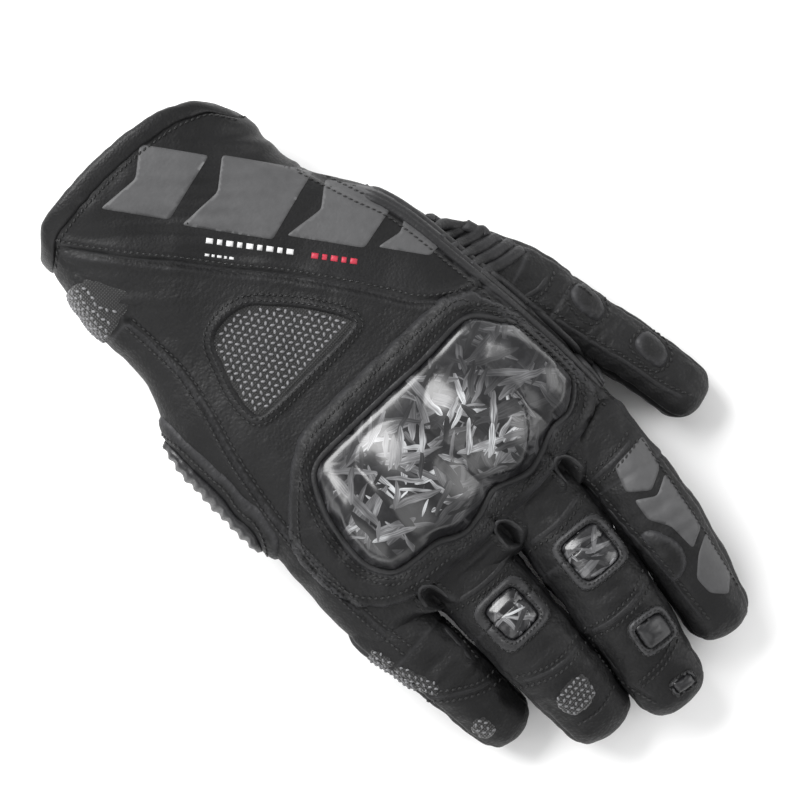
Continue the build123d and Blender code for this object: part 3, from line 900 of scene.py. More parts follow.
def hand_height(p, turn):
    """Height of seams, laps, folds and hollows over the hand's skin."""
    flat = p.reshape(-1, 3)
    plan = flat[:, :2]
    back = smoothstep(18, 30, flat[:, 2])
    patches = 0.3 + smoothstep(0, 1, waves(flat, 45, 9))
    h = 0.55 * waves(flat, 32, 3) + 0.26 * waves(flat, 12, 4) * patches
    d, side = to_line(plan, CUFF_SEAM)
    h += back * (0.8 * smoothstep(0.9, -0.9, -d * side) - 0.9 * dip(d, 0.9) + 0.45 * dip(d - 2.6, 1.3))
    d, side = to_line(plan, OUTER_SEAM)
    h += back * (0.5 * smoothstep(-0.8, 0.8, -d * side) - 0.9 * dip(d, 0.9) + 0.3 * dip(d - 2.4, 1.2))
    d, side = to_line(plan, INNER_SEAM)
    h += back * (-0.8 * dip(d, 0.9) + 0.3 * dip(d - 2.4, 1.2))
    d = to_line(plan, MESH_EDGE, True)[0] * np.where(inside(plan, MESH_EDGE), -1, 1)
    h += back * (-1.3 * smoothstep(0.6, -0.8, d) + 0.9 * dip(d - 1.6, 1.4))
    y = flat[:, 1]
    valley = sum(dip(flat[:, 0] - x, w) for x, w in KNUCKLE_LINES)
    h -= back * (5.5 * smoothstep(36, FRONT, y) * valley + 0.8 * smoothstep(40, FRONT, y))
    pull = waves(np.stack([flat[:, 0] * 0.25, y], axis=1), 4.5, 11)
    h += back * 0.42 * pull * dip(y - 47, 7)
    wrist_folds = waves(np.stack([flat[:, 0] * 0.8 + y * 0.8, y * 0.15], axis=1), 7, 14)
    h += back * 0.35 * wrist_folds * dip(y + 92, 16)
    palm = 1 - back
    h += palm * 0.35 * waves(np.stack([flat[:, 0] * 0.3, y], axis=1), 9, 21)
    h -= palm * 0.8 * dip(y - WRIST_SEAM, 0.9)
    h -= palm * 0.8 * dip(turn.ravel() - BOTTOM_TURN, 0.012)
    return h.reshape(p.shape[:2])


row_grid, turn_grid = np.meshgrid(ROWS, TURNS, indexing="ij")
hand = hand_point(row_grid, turn_grid)
relief = hand_height(hand, turn_grid) * smoothstep(CUFF_END + 3, CUFF_END + 11, row_grid)
hand = hand + grid_normals(hand) * relief[..., None]
rounding = []            # the hand's front rolls over, and closes behind the roots of the fingers
for step_in in np.radians(np.arange(12, 91, 13)):
    ring = hand[-1].copy()
    pull_in = 7 * (1 - math.cos(step_in))
    ring[:, 0] -= np.clip(ring[:, 0] - 2.0, -1, 1) * pull_in * 0.7
    ring[:, 2] += (MID_HEIGHT - ring[:, 2]) * pull_in / 17
    ring[:, 1] += 6 * math.sin(step_in)
    rounding.append(ring)
for share in (0.35, 0.7, 0.97):
    ring = rounding[5].copy()
    ring[:, 2] += (MID_HEIGHT - ring[:, 2]) * share
    rounding.append(ring)
hand = np.concatenate([hand, np.array(rounding)])
hand_normals = grid_normals(hand)
centres = (hand[:-1] + hand[1:]) / 2
centres = (centres + np.roll(centres, -1, axis=1)) / 2
centre_x, centre_y, centre_z = np.moveaxis(centres, 2, 0)


def left_of(seam):
    """Which faces of the hand lie to the left of a seam in plan."""
    return (to_line(centres.reshape(-1, 3)[:, :2], seam)[1] > 0).reshape(centre_x.shape)


is_back = centre_z > MID_HEIGHT
below_cuff = left_of(CUFF_SEAM)
side_band = centre_z > hand_point(np.array([-10.0]), np.array([BOTTOM_TURN]))[0, 2]
outer_side = ~left_of(OUTER_SEAM) & (centre_x > 0) & (centre_y > OUTER_START) & side_band
thumb_side = left_of(INNER_SEAM) & (centre_x < 0) & (centre_y > INNER_START) & side_band & ~outer_side
taken = outer_side | thumb_side
cuff_palm = ~is_back & (centre_y < WRIST_SEAM) & ~taken
SKIN, LINING_DEPTH = 1.5, 2.8            # thickness of the leather, and how far inside the lining lies
for name, mask, material, slot in (
        ("cuff_back_panel", is_back & below_cuff & ~taken, SMOOTH, "cuff_leather"),
        ("cuff_palm_panel", cuff_palm, PALM, "cuff_leather"),
        ("hand_back_panel", is_back & ~below_cuff & ~taken, LEATHER, "leather"),
        ("palm_panel", ~is_back & ~taken & ~cuff_palm, PALM, "palm_leather"),
        ("outer_side_panel", outer_side, LEATHER, "leather"),
        ("thumb_side_panel", thumb_side, LEATHER, "leather")):
    attach(shell("skin_" + name, hand, hand_normals, mask, SKIN, material), "hand", slot, name)
GROUND.add(hand.reshape(-1, 3), [f[::-1] for f in grid_faces(len(hand), COLUMNS, True)])

lining = hand_point(row_grid[3:-22], turn_grid[3:-22], -LINING_DEPTH)
for _ in range(6):       # its front closes in a little behind the fingers
    ring = lining[-1].copy()
    ring[:, 2] += (MID_HEIGHT - ring[:, 2]) * 0.2
    ring[:, 1] += 0.6
    lining = np.concatenate([lining, ring[None]])
lining_z = (lining[1:, :, 2] + lining[:-1, :, 2]) / 2
for name, mask in (("back_lining", lining_z > MID_HEIGHT), ("palm_lining", lining_z <= MID_HEIGHT)):
    knit = shell(name + "_knit", lining, grid_normals(lining), mask, 0.8, LINING)
    attach(knit, "hand", "lining", name)

BINDING = (  # section of the cuff's bound edge: distance from the end, height over the skin
    (6.4, -0.2), (6.1, 0.75), (5.2, 1.05), (3.2, 1.15), (1.2, 1.05), (0.1, 0.6), (-0.5, -0.4),
    (-0.5, -1.6), (0.2, -2.6), (1.4, -3.3), (3.6, -3.4), (6.2, -3.3), (6.6, -2.7))
ripple = 0.12 * waves(hand_point(np.full(COLUMNS, CUFF_END), TURNS), 5, 31)[:, None]
binding = np.array([hand_point(np.full(COLUMNS, CUFF_END + along), TURNS, grow) + ripple
                    for along, grow in BINDING[::-1]])
tape = new_piece("cuff_binding_tape", binding.reshape(-1, 3), grid_faces(len(BINDING), COLUMNS, True),
                 ROLLED)
attach(tape, "hand", "binding", "cuff_binding")


# ------------------------------------------------------------------ fingers and thumb
COLUMN_TURN = 4.5        # degrees between the columns of a digit's skin
ROUNDNESS = 2.35         # power of a digit's section, where 2 is an ellipse


class Digit:
    """A finger or the thumb: its skin grid and the two stretches that bend."""

    def __init__(self, name, second_joint, tip, widths, heights, bow, zones, start=None, up=(0, 0, 1)):
        self.name = name
        joints = name + "_base_bend", name + second_joint
        root, knuckle = (pivot(joint) for joint in joints)
        tip = np.array(tip, float)
        if start is None:
            start = root - 17 * unit(knuckle - root)
        reach = (widths[-1] + heights[-1]) / 2
        end = tip + unit(tip - knuckle) * reach
        path = blur(resample(np.array([start, root, knuckle, tip, end]), 0.4), 12)
        s = lengths_along(path)
        self.length = s[-1]
        marks = [s[np.linalg.norm(path - p, axis=1).argmin()] for p in (root, knuckle, tip)]
        self.marks = marks
        self.split = (marks[0] + zones[0][1] + marks[1] - zones[1][0]) / 2
        even = np.arange(0, self.length - reach, 0.8)
        rounded = self.length - reach + reach * np.sin(np.linspace(0, math.pi / 2, 14))
        self.s = np.concatenate([even, rounded])
        centre = np.stack([np.interp(self.s, s, path[:, k]) for k in range(3)], axis=1)
        ahead = np.stack([np.interp(self.s, s, k) for k in frames_along(path).T], axis=1)
        ahead /= np.linalg.norm(ahead, axis=1)[:, None]
        side = np.cross(ahead, np.array(up, float))
        side /= np.linalg.norm(side, axis=1)[:, None]
        upward = np.cross(side, ahead)
        t = (self.s - marks[0]) / (marks[2] - marks[0])
        centre = centre + side * (bow * np.sin(math.pi * np.clip(t, 0, 1)))[:, None]
        a = np.interp(self.s, [0, *marks], [widths[0], *widths])
        b = np.interp(self.s, [0, *marks], [heights[0], *heights])
        emerging = 0.3 + 0.7 * smoothstep(0, marks[0] * 0.8, self.s)
        a, b = a * emerging, b * emerging
        u = np.clip((self.s - (self.length - reach)) / reach, 0, 1)
        cap = np.maximum(1 - u**2.4, 0) ** (1 / 2.2) + 0.004
        self.turn = np.radians(np.arange(0, 360, COLUMN_TURN))
        c, v = np.cos(self.turn), np.sin(self.turn)
        across = np.sign(c) * np.abs(c) ** (2 / ROUNDNESS)
        high = np.sign(v) * np.abs(v) ** (2 / ROUNDNESS)
        grid = (centre[:, None] + side[:, None] * (a * cap)[:, None, None] * across[None, :, None]
                + upward[:, None] * (b * cap)[:, None, None] * high[None, :, None])
        bend = unit(unit(tip - knuckle) + unit(knuckle - root))
        base, end = name + "_base", name + "_tip"
        self.where = {"base": ("hand", base, zone(joints[0], unit(knuckle - root), *zones[0])),
                      "tip": (base, end, zone(joints[1], bend, *zones[1]))}
        relief = self.height(grid) * np.minimum(cap, 1)[:, None]
        self.grid = grid + grid_normals(grid) * relief[..., None]
        self.normals = grid_normals(self.grid)
        faces = grid_faces(len(self.s), len(self.turn), True)
        GROUND.add(self.grid.reshape(-1, 3), [f[::-1] for f in faces])

    def height(self, grid):
        """Height of the seams along the sides and of the folds at the joints."""
        s = self.s[:, None]
        back = np.sin(self.turn)[None]
        flat = grid.reshape(-1, 3)
        seed = len(self.name) * 7 + ord(self.name[0])
        h = (0.34 * waves(flat, 17, seed) + 0.14 * waves(flat, 6, seed + 1)).reshape(grid.shape[:2])
        for angle in (-20, 20, 160, 200):
            off = np.degrees(np.abs(np.angle(np.exp(1j * (self.turn - math.radians(angle))))))[None]
            h = h - 0.75 * dip(off, 4.5) + 0.3 * dip(off - 11, 6)
        palm_fold = np.maximum(-back, 0)
        for mark in self.marks[:2]:
            for shift in (-6, -2, 2, 6):
                h = h - 0.7 * palm_fold * dip(s - mark - shift, 1.2)
        back_fold = np.maximum(back, 0)
        knuckle = self.marks[1]
        for shift in (-3.5, 0.5, 4.5):
            h = h - 0.5 * back_fold * dip(s - knuckle - shift + 0.8 * np.cos(self.turn)[None], 1.1)
        return h - 0.5 * dip(s - self.split, 0.9)

    def cut(self, part, name, lowest, highest, node, material, rows=None):
        """A panel of the skin between two angles, measured from the little-finger side over the back."""
        middle = (np.degrees(self.turn) + COLUMN_TURN / 2)[None] % 360
        if lowest < 0:
            around = (middle > lowest % 360) | (middle < highest)
        else:
            around = (middle > lowest) & (middle < highest)
        along = (self.s[1:] + self.s[:-1])[:, None] / 2
        start, end = rows or ((-1, self.split) if part == "base" else (self.split, 1e3))
        mask = around & (along > start) & (along <= end)
        panel = shell(f"{self.name}_{name}", self.grid, self.normals, mask, 1.2, material)
        slot = "palm_leather" if material is PALM else "leather"
        attach(panel, self.where[part], slot, *([f"{self.name}_{node}"] if node else []))

    def beyond(self, points):
        """Which plan points lie past the divide between the digit's two lengths."""
        row = np.abs(self.s - self.split).argmin()
        at, before, after = (self.grid[k].mean(0)[:2] for k in (row, row - 2, row + 2))
        return (points - at) @ (after - before) > 0

    def sew(self, name, ridge_radius, rows, line):
        """Stitch rows, and a rolled seam if it has a radius, along a plan line on the digit."""
        line = curve_through(line, 0.8)
        past = self.beyond(line)
        for part, chosen in (("base", ~past), ("tip", past)):
            if chosen.sum() <= 3:
                continue
            run, where = line[chosen], self.where[part]
            if ridge_radius:
                roll_seam(f"{name}_{part}_roll", run, LEATHER, where, radius=ridge_radius, squash=0.6,
                          sink=0.3)
            for number, by in enumerate(rows):
                sew_row(f"{name}_{part}_stitch_{number}", offset_line(run, by), where)


DIGITS = {name: Digit(name, *shape) for name, *shape in (
    # second joint, middle of the tip's ball, half widths and half heights at the root, the knuckle and
    # the tip, sideways bow, and how far each bend reaches before and after its hinge
    ("index", "_middle_bend", (-26.9, 114.0, 12.0), (13.0, 12.8, 11.0), (12.4, 12.0, 10.3), -2.2,
     ((8.5, 8.5), (8, 10))),
    ("middle", "_middle_bend", (0.5, 118.6, 12.5), (14.5, 14.1, 12.1), (12.8, 12.4, 10.8), -1.0,
     ((8.5, 8.5), (7.5, 10))),
    ("ring", "_middle_bend", (23.2, 107.3, 12.4), (15.0, 13.8, 12.2), (12.8, 12.2, 10.8), -0.2,
     ((8.5, 8.5), (8, 10))),
    ("little", "_middle_bend", (46.4, 87.2, 10.6), (12.7, 11.6, 10.2), (11.6, 11.0, 9.4), -1.0,
     ((7, 7), (6, 8))),
    ("thumb", "_tip_bend", (-71.2, 58.4, 9.3), (13.0, 10.4, 9.6), (12.0, 10.2, 8.6), -1.7,
     ((8, 8), (7, 8)), (-40.0, -46.0, 17.6), (-0.1, 0, 0.97)))}
for name in FINGERS:
    for part, piece, lowest, highest, node, material in (
            ("base", "back_first", 20, 160, "base_back", LEATHER),
            ("base", "palm_first", 200, 340, "base_palm", PALM),
            ("base", "gusset_outer", -20, 20, "base_gussets", LEATHER),
            ("base", "gusset_inner", 160, 200, None, LEATHER),
            ("tip", "back_second", -20, 200, "tip_back", LEATHER),
            ("tip", "palm_second", 200, 340, "tip_palm", PALM)):
        DIGITS[name].cut(part, piece, lowest, highest, node, material)
thumb = DIGITS["thumb"]
root_end = thumb.marks[0] + 2
first_rows = (root_end, thumb.split)
thumb.cut("base", "root_skin", -1, 361, "root_panel", LEATHER, (-1, root_end))
thumb.cut("base", "back_first", -20, 200, "base_back", LEATHER, first_rows)
thumb.cut("base", "palm_first", 200, 340, "base_palm", PALM, first_rows)
thumb.cut("tip", "back_second", -20, 200, "tip_back", LEATHER)
thumb.cut("tip", "palm_second", 200, 340, "tip_palm", PALM)


# ------------------------------------------------------------------ knuckle guard and its surround
GUARD_EDGE = curve_through([
    (-49, 8), (-49, 27), (-47, 32), (-40, 36.5), (-33, 36), (-25, 38.5), (-18, 40), (-8, 36), (-5, 35.5),
    (0, 37), (8, 38.5), (13, 37), (18, 34), (30, 32), (35, 29.5), (38, 22), (37, 12), (35, 4), (30, -6),
    (26, -9), (20, -9.5), (0, -8.5), (-20, -7), (-36, -7), (-41, -5), (-46, 2)], closed=True)[::-1]
if (to_line(np.array([[0.0, 15.0]]), GUARD_EDGE, True)[1] < 0).all():
    GUARD_EDGE = GUARD_EDGE[::-1]        # its left is its inside
SURROUND_EDGE = curve_through([
    (-53, 20), (-52, 6), (-50, -3), (-47, -12), (-43, -16), (-35, -17.5), (-18, -18.8), (0, -20),
    (20, -20.5), (28, -18), (35, -13.5), (45, -5), (51, 2), (53.5, 10), (53, 24), (48, 34), (38, 41),
    (20, 44.5), (0, 46), (-20, 46.5), (-42, 44.5), (-51, 38)], closed=True)
KNUCKLES = ((-41.0, 21.0, 11.5, 19.0, 5.0), (-19.0, 20.0, 17.0, 22.0, 6.8), (8.5, 18.0, 17.5, 23.0, 6.8),
            (28.0, 13.0, 13.0, 21.0, 5.2))    # x, y, half width, half length, height of each dome


def domes(points, edge):
    """Height of the guard: four domes run together over a crown that falls to the edge."""
    total = np.zeros(len(points))
    for x, y, rx, ry, h in KNUCKLES:
        u2 = ((points[:, 0] - x) / rx) ** 2 + ((points[:, 1] - y) / ry) ** 2
        total += (h * np.maximum(0, 1 - u2) ** 1.15) ** 3
    crown = 1.6 * (1 - (1 - np.clip(edge / 9, 0, 1)) ** 2)
    return crown + total ** (1 / 3) * smoothstep(0, 5, edge)


def surround_swell(points, edge):
    """Uneven padding, fullest in a ring round the guard."""
    return 0.22 * waves(points, 9, 41) + 0.7 * dip(to_line(points, GUARD_EDGE, True)[0] - 5.0, 2.6)


lay("knuckle_foam_pad", offset_line(GUARD_EDGE, 4.5, True), FOAM, 0.5, "hand", "foam", "knuckle_foam",
    roll=1.5, ground=False)
lay("knuckle_surround_pad", SURROUND_EDGE, LEATHER, 2.3, "hand", "leather", "knuckle_surround", padded=0.5,
    holes=(offset_line(GUARD_EDGE, -0.6, True),), roll=4.5, sink=0.4, step=1.1, back=0.6,
    channels=((3.4, 0.5),), stuffed=0.5, shape=surround_swell)
lay("knuckle_guard_shell", GUARD_EDGE, CARBON, 2.4, "hand", "guard", "knuckle_guard",
    roll=2.6, sink=-0.5, shape=domes, step=0.8, back=1.4)
rim = offset_line(GUARD_EDGE, -0.9, True)
roll_seam("guard_piping", np.vstack([rim, rim[:2]]), ROLLED, radius=1.5, sink=0.0, squash=0.9)
for number, by in enumerate((-3.0, -4.9)):
    sew_row(f"guard_stitch_{number}", looped(offset_line(GUARD_EDGE, by, True)))
sew_row("surround_stitch", looped(offset_line(SURROUND_EDGE, 3.4, True)))


# ------------------------------------------------------------------ back of the hand and cuff
DOT_HEIGHT = 0.55
DOT_ANGLES = (-40, 50)   # the two ways in which dots lie, in degrees


def dotted(name, outline, view, pitch, size, margin):
    """Raised oval dots in alternating directions on a mesh patch."""
    low, high = outline.min(0), outline.max(0)
    ys = np.arange(low[1], high[1], pitch)
    gx, gy = np.meshgrid(np.arange(low[0], high[0], pitch), ys)
    gx = gx + (np.arange(len(ys)) % 2)[:, None] * pitch / 2
    points = np.stack([gx.ravel(), gy.ravel()], axis=1)
    points = points[inside(points, outline) & (to_line(points, outline, True)[0] > margin)]
    where, normals = drop(points, view)
    draw = np.random.default_rng(5)
    leaning = np.where(np.arange(len(points)) % 2, DOT_ANGLES[1], DOT_ANGLES[0])
    angle = np.radians(leaning + draw.normal(0, 8, len(points)))
    u, v = (np.array(a, float) for a in VIEWS[view][:2])
    ways = np.cos(angle)[:, None] * u + np.sin(angle)[:, None] * v
    return beads(name, where, ways, normals, (size * 1.35, size * 0.8, DOT_HEIGHT), DOTS)


def mesh_window(name, dots_name, outline, where, *nodes, lift=0.4, view="top", pitch=1.8, size=0.55,
                margin=0.9, roll=0.8, back=0.5, **how):
    """A patch of mesh fabric and the dots on it."""
    lay(name, outline, MESH, lift, where, "mesh", *nodes, view=view, roll=roll, back=back, **how)
    attach(dotted(dots_name, outline, view, pitch, size, margin), where, "mesh")


mesh_window("back_mesh", "back_mesh_dots", MESH_EDGE, "hand", "back_mesh_patch", lift=0.25, pitch=2.0,
            size=0.62, sink=0.1, step=1.5)
for number, by in enumerate((1.5, 3.4)):
    sew_row(f"mesh_stitch_{number}", looped(grown(MESH_EDGE, by)))
sew_row("cuff_seam_stitch", offset_line(CUFF_SEAM, 1.7))
for label, line in (("outer", OUTER_SEAM), ("inner", INNER_SEAM)):
    for number, by in enumerate((-1.7, 1.7)):
        sew_row(f"{label}_seam_stitch_{number}", offset_line(line, by))
edge_line = hand_point(np.full(COLUMNS, CUFF_END + 7.6), TURNS)
upper = edge_line[edge_line[:, 2] > 34][:, :2]
sew_row("binding_stitch", upper[np.argsort(upper[:, 0])], slot="binding")
lower = edge_line[edge_line[:, 2] < 12][:, :2]
sew_row("binding_stitch_palm", lower[np.argsort(lower[:, 0])], slot="binding", view="bottom")


PRINT_STEP = 0.7         # distance between the points of a print's outline
FEWEST_SOFTENED = 24     # an outline of no more points than this keeps its corners sharp


def sharp_outline(points):
    """Straight-sided outline with slightly rounded corners; a very short one keeps them sharp."""
    points = np.array(points, float)
    line = []
    for a, b in zip(points, np.roll(points, -1, axis=0)):
        count = max(2, int(np.linalg.norm(b - a) / PRINT_STEP))
        line.append(a + (b - a) * np.linspace(0, 1, count, endpoint=False)[:, None])
    line = np.vstack(line)
    for _ in range(3 if len(line) > FEWEST_SOFTENED else 0):
        line = (np.roll(line, 1, axis=0) + 2 * line + np.roll(line, -1, axis=0)) / 4
    return line


def ink(name, outline, material, where, slot, lift, step):
    """One flat printed block that follows the leather."""
    lay(name, sharp_outline(outline), material, lift, where, slot, roll=0.3, sink=-0.1, step=step,
        back=0.2, ground=False)


# Slanted blocks across the cuff: distance along the panel, then across it
ALONG = unit(np.array([-49.0, -18.0]) - np.array([19.0, -119.0]))
ACROSS = np.array([ALONG[1], -ALONG[0]])
START = np.array([12.0, -112.0])


def cuff_block(begin, length, low, high, slant=9.0, notch=5.0):
    """Generic slanted block with a notch in its trailing side, in plan."""
    middle = (low + high) / 2
    outline = [(begin, low), (begin + length, low), (begin + length + slant * 0.5, middle),
               (begin + length + slant, high), (begin + slant, high), (begin + slant * 0.5 + notch, middle)]
    return np.array([START + ALONG * a - ACROSS * b for a, b in outline])


for number, block in enumerate((cuff_block(-3, 22, 0, 22), cuff_block(23, 29, -1, 23),
                                cuff_block(56, 25, 1, 21), cuff_block(85, 17, 2, 14, 7, 3))):
    ink(f"cuff_print_{number}", block, GREY_PRINT, "hand", "cuff_leather", 0.14, 1.0)


def dash_row(name, start, end, widths, gap, high, material):
    """A line of small plain dashes in place of lettering, as many as fit between two points."""
    start, end = np.array(start, float), np.array(end, float)
    way = unit(end - start)
    up = np.array([-way[1], way[0]]) * high
    at = 0.0
    for number, width in enumerate(widths):
        if at + width > np.linalg.norm(end - start):
            break
        base = start + way * at
        dash = np.array([base, base + way * width, base + way * width + up, base + up])
        ink(f"{name}_{number}", dash, material, "hand", "cuff_leather", 0.2, 0.6)
        at += width + gap


dash_row("white_dashes", (-1, -83), (-19.5, -57), (*(2.2, 1.6) * 4, 2.2), 1.3, 1.7, WHITE_PRINT)
dash_row("red_dashes", (-20.2, -55.5), (-29, -43), (*(2.2, 1.6) * 2, 2.2), 1.2, 1.8, RED_PRINT)
dash_row("small_dashes", (2.2, -80.5), (-6, -69), (*(1.4, 0.9) * 2, 1.4), 0.8, 0.8, WHITE_PRINT)

# Thumb side: three rolled pleats and the ribbed stretch at the thumb's root
pleat = curve_through([(-46.5, -58), (-50, -45), (-52, -20), (-53.5, 0), (-54, 20), (-53.5, 40)])
for number, by in enumerate((0.0, 3.1, 6.2)):
    roll_seam(f"thumb_side_pleat_{number}", offset_line(pleat, by * 0.55), ROLLED, "hand", "piping",
              *(["thumb_side_piping"] if number == 0 else []), radius=1.5, sink=0.3)
low, high = corners("thumb_accordion")
for number, y in enumerate(np.arange(low[1] + 2, high[1] - 1, 4.2)):
    line = np.array([(low[0] - 3, y + 2.2), ((low[0] + high[0]) / 2, y + 0.4), (high[0] - 1, y - 2.5)])
    roll_seam(f"thumb_rib_{number}", curve_through(line), LEATHER, "hand", "stretch_rib",
              *(["thumb_accordion"] if number == 0 else []), radius=2.1, squash=0.85, sink=0.4)


# Little-finger side: ridged slider on a padded strip, and the mesh at the wrist
def grip_ridges(points, edge):
    return 0.55 * np.sin(points[:, 0] * TAU / 4.2) * smoothstep(0.5, 2.5, edge)


def side_outline(node, longer=0.0, taller=0.0):
    """Rounded outline of a CAD node's box, seen from the little-finger side."""
    low, high = corners(node)
    centre, size = (low + high) / 2, high - low
    return rounded_box(centre[1:], size[1] + longer, size[2] + taller)


strip = curve_through([(-56, 25), (-40, 17), (-5, 15), (2, 20), (0, 33), (-8, 37), (-40, 37), (-54, 33)],
                      1.2, True)
lay("outer_side_pad", strip, LEATHER, 1.4, "hand", "leather", padded=0.6, view="outer", roll=3.5,
    stuffed=0.9)
slide = curve_through([(-50, 24), (-40, 20.5), (-10, 19), (-4, 23), (-5, 30), (-14, 33), (-40, 33),
                       (-48, 30)], 1.2, True)
lay("outer_slider", slide, NYLON, 1.7, "hand", "slider", "outer_hand_slider", view="outer", roll=1.6,
    sink=-0.2, shape=grip_ridges)
sew_row("outer_slider_stitch", looped(grown(slide, 2.2)), view="outer")
mesh_window("wrist_mesh", "wrist_mesh_dots", side_outline("outer_wrist_mesh", -1, 6), "hand",
            "outer_wrist_mesh", lift=0.6, view="outer", roll=1.0, pitch=2.0, size=0.62)


# ------------------------------------------------------------------ finger armour and seams
def lens_rise(points, edge):
    """A raised middle with a step round it."""
    return 0.75 * smoothstep(0, 5, edge) + 0.35 * smoothstep(2.4, 3.2, edge)


def framed_slider(where, name, centre, frame_size, insert_size, turn, node, material):
    """Leather frame with a rolled edge round a moulded insert."""
    frame_size, insert_size = np.array(frame_size), np.array(insert_size)

    def box(size, step=1.0):
        return rounded_box(centre, *size, turn, 5, step)

    lay(name + "_frame", box(frame_size), ROLLED, 1.5, where, "leather", holes=(box(insert_size - 0.6),),
        roll=2.2, sink=0.3, step=0.9)
    lay(name + "_insert", box(insert_size, 0.7), material, 1.6, where, "slider", node,
        roll=2.0, sink=-0.1, step=0.7, shape=lens_rise)
    sew_row(name + "_stitch", looped(box(frame_size - 0.5)), where, pitch=1.7, size=(0.7, 0.34, 0.3))
    sew_row(name + "_inner_stitch", looped(box(insert_size + 1.9)), where, pitch=1.5,
            size=(0.6, 0.3, 0.28))


index, middle_finger, ring_finger, little = (DIGITS[n] for n in FINGERS)
for digit, part, name, centre, frame_size, insert_size, turn, node, material in (
        (middle_finger, "base", "middle_slider_one", (-12.4, 72.6), (20.5, 20), (14.6, 15), -8,
         "middle_knuckle_slider", LENS),
        (ring_finger, "base", "ring_slider", (18.8, 67.8), (20.5, 20), (13.2, 14), -3,
         "ring_knuckle_slider", LENS),
        (middle_finger, "tip", "middle_slider_two", (-7.8, 104.6), (14.5, 13.4), (10, 8.8), -12,
         "middle_second_slider", NYLON),
        (middle_finger, "tip", "middle_slider_end", (-2.2, 124), (9.5, 6), (7, 4), -12,
         "middle_tip_slider", NYLON)):
    framed_slider(digit.where[part], name, centre, frame_size, insert_size, turn, node, material)

ring_tip = curve_through([(17.5, 97), (24, 95.5), (30.5, 97.5), (30.5, 104), (27, 106.5), (20, 106),
                          (17.5, 102)], 1, True)
mesh_window("ring_tip_mesh_patch", "ring_tip_mesh_dots", ring_tip, ring_finger.where["tip"],
            "ring_tip_mesh")
little_tip = curve_through([(49, 84), (52, 82.5), (55.5, 84), (56, 88), (53.5, 91), (50, 91), (48.5, 88)],
                           1, True)
mesh_window("little_tip_mesh_patch", "little_tip_mesh_dots", little_tip, little.where["tip"],
            "little_tip_mesh")
for number, (part, outline) in enumerate((
        ("base", [(55, 51.5), (59.3, 51.5), (59.6, 44), (57, 43.5)]),
        ("tip", [(51, 66), (55.5, 68.5), (58.6, 60), (59.2, 53.5), (55, 53.5)]))):
    mesh_window(f"little_edge_mesh_{number}", f"little_edge_dots_{number}",
                curve_through(outline, 1.0, True), little.where[part], lift=0.35, size=0.5, margin=0.6,
                roll=0.7, back=0.4)
mesh_window("little_side_mesh_patch", "little_side_mesh_dots", side_outline("little_side_mesh"),
            little.where["base"], "little_side_mesh", lift=0.5, view="outer")

cushion = curve_through([(-31, 82), (-33.6, 88), (-33.8, 93), (-31, 98), (-25, 100), (-22.8, 98),
                         (-25, 88), (-27, 81)], 1.0, True)
lay("index_pad", cushion, LEATHER, 1.2, index.where["tip"], "soft_pad", "index_knuckle_pad", padded=0.6,
    roll=3.2, stuffed=1.0)
for name, part, outline in (
        ("thumb_base_pad", "base", [(-74, 12), (-68.5, 12), (-66.5, 18), (-68, 25), (-73, 24), (-75, 18)]),
        ("thumb_tip_pad", "tip", [(-77, 38), (-71, 38), (-69.5, 44), (-71, 50), (-76, 49), (-78, 44)])):
    outline = curve_through(outline, 1.0, True)
    lay(name + "_cushion", outline, LEATHER, 1.2, thumb.where[part], "soft_pad", name, padded=0.6,
        roll=3, stuffed=0.9)
    edge = offset_line(outline, -1.2, True)
    thumb.sew(name + "_edge", None, (0.0,), np.vstack([edge[::6], edge[:1]]))

for number, (x, y) in enumerate(((-27.0, 48.0), (0.8, 48.0), (32.3, 44.5))):
    loop = curve_through([(x - 3.4, y + 5), (x - 2.8, y - 1), (x, y - 4), (x + 2.8, y - 1),
                          (x + 3.4, y + 5)], 0.8)
    roll_seam(f"web_notch_{number}", loop, ROLLED, radius=0.9, sink=0.1)
    sew_row(f"web_notch_stitch_{number}", offset_line(loop, -1.7))

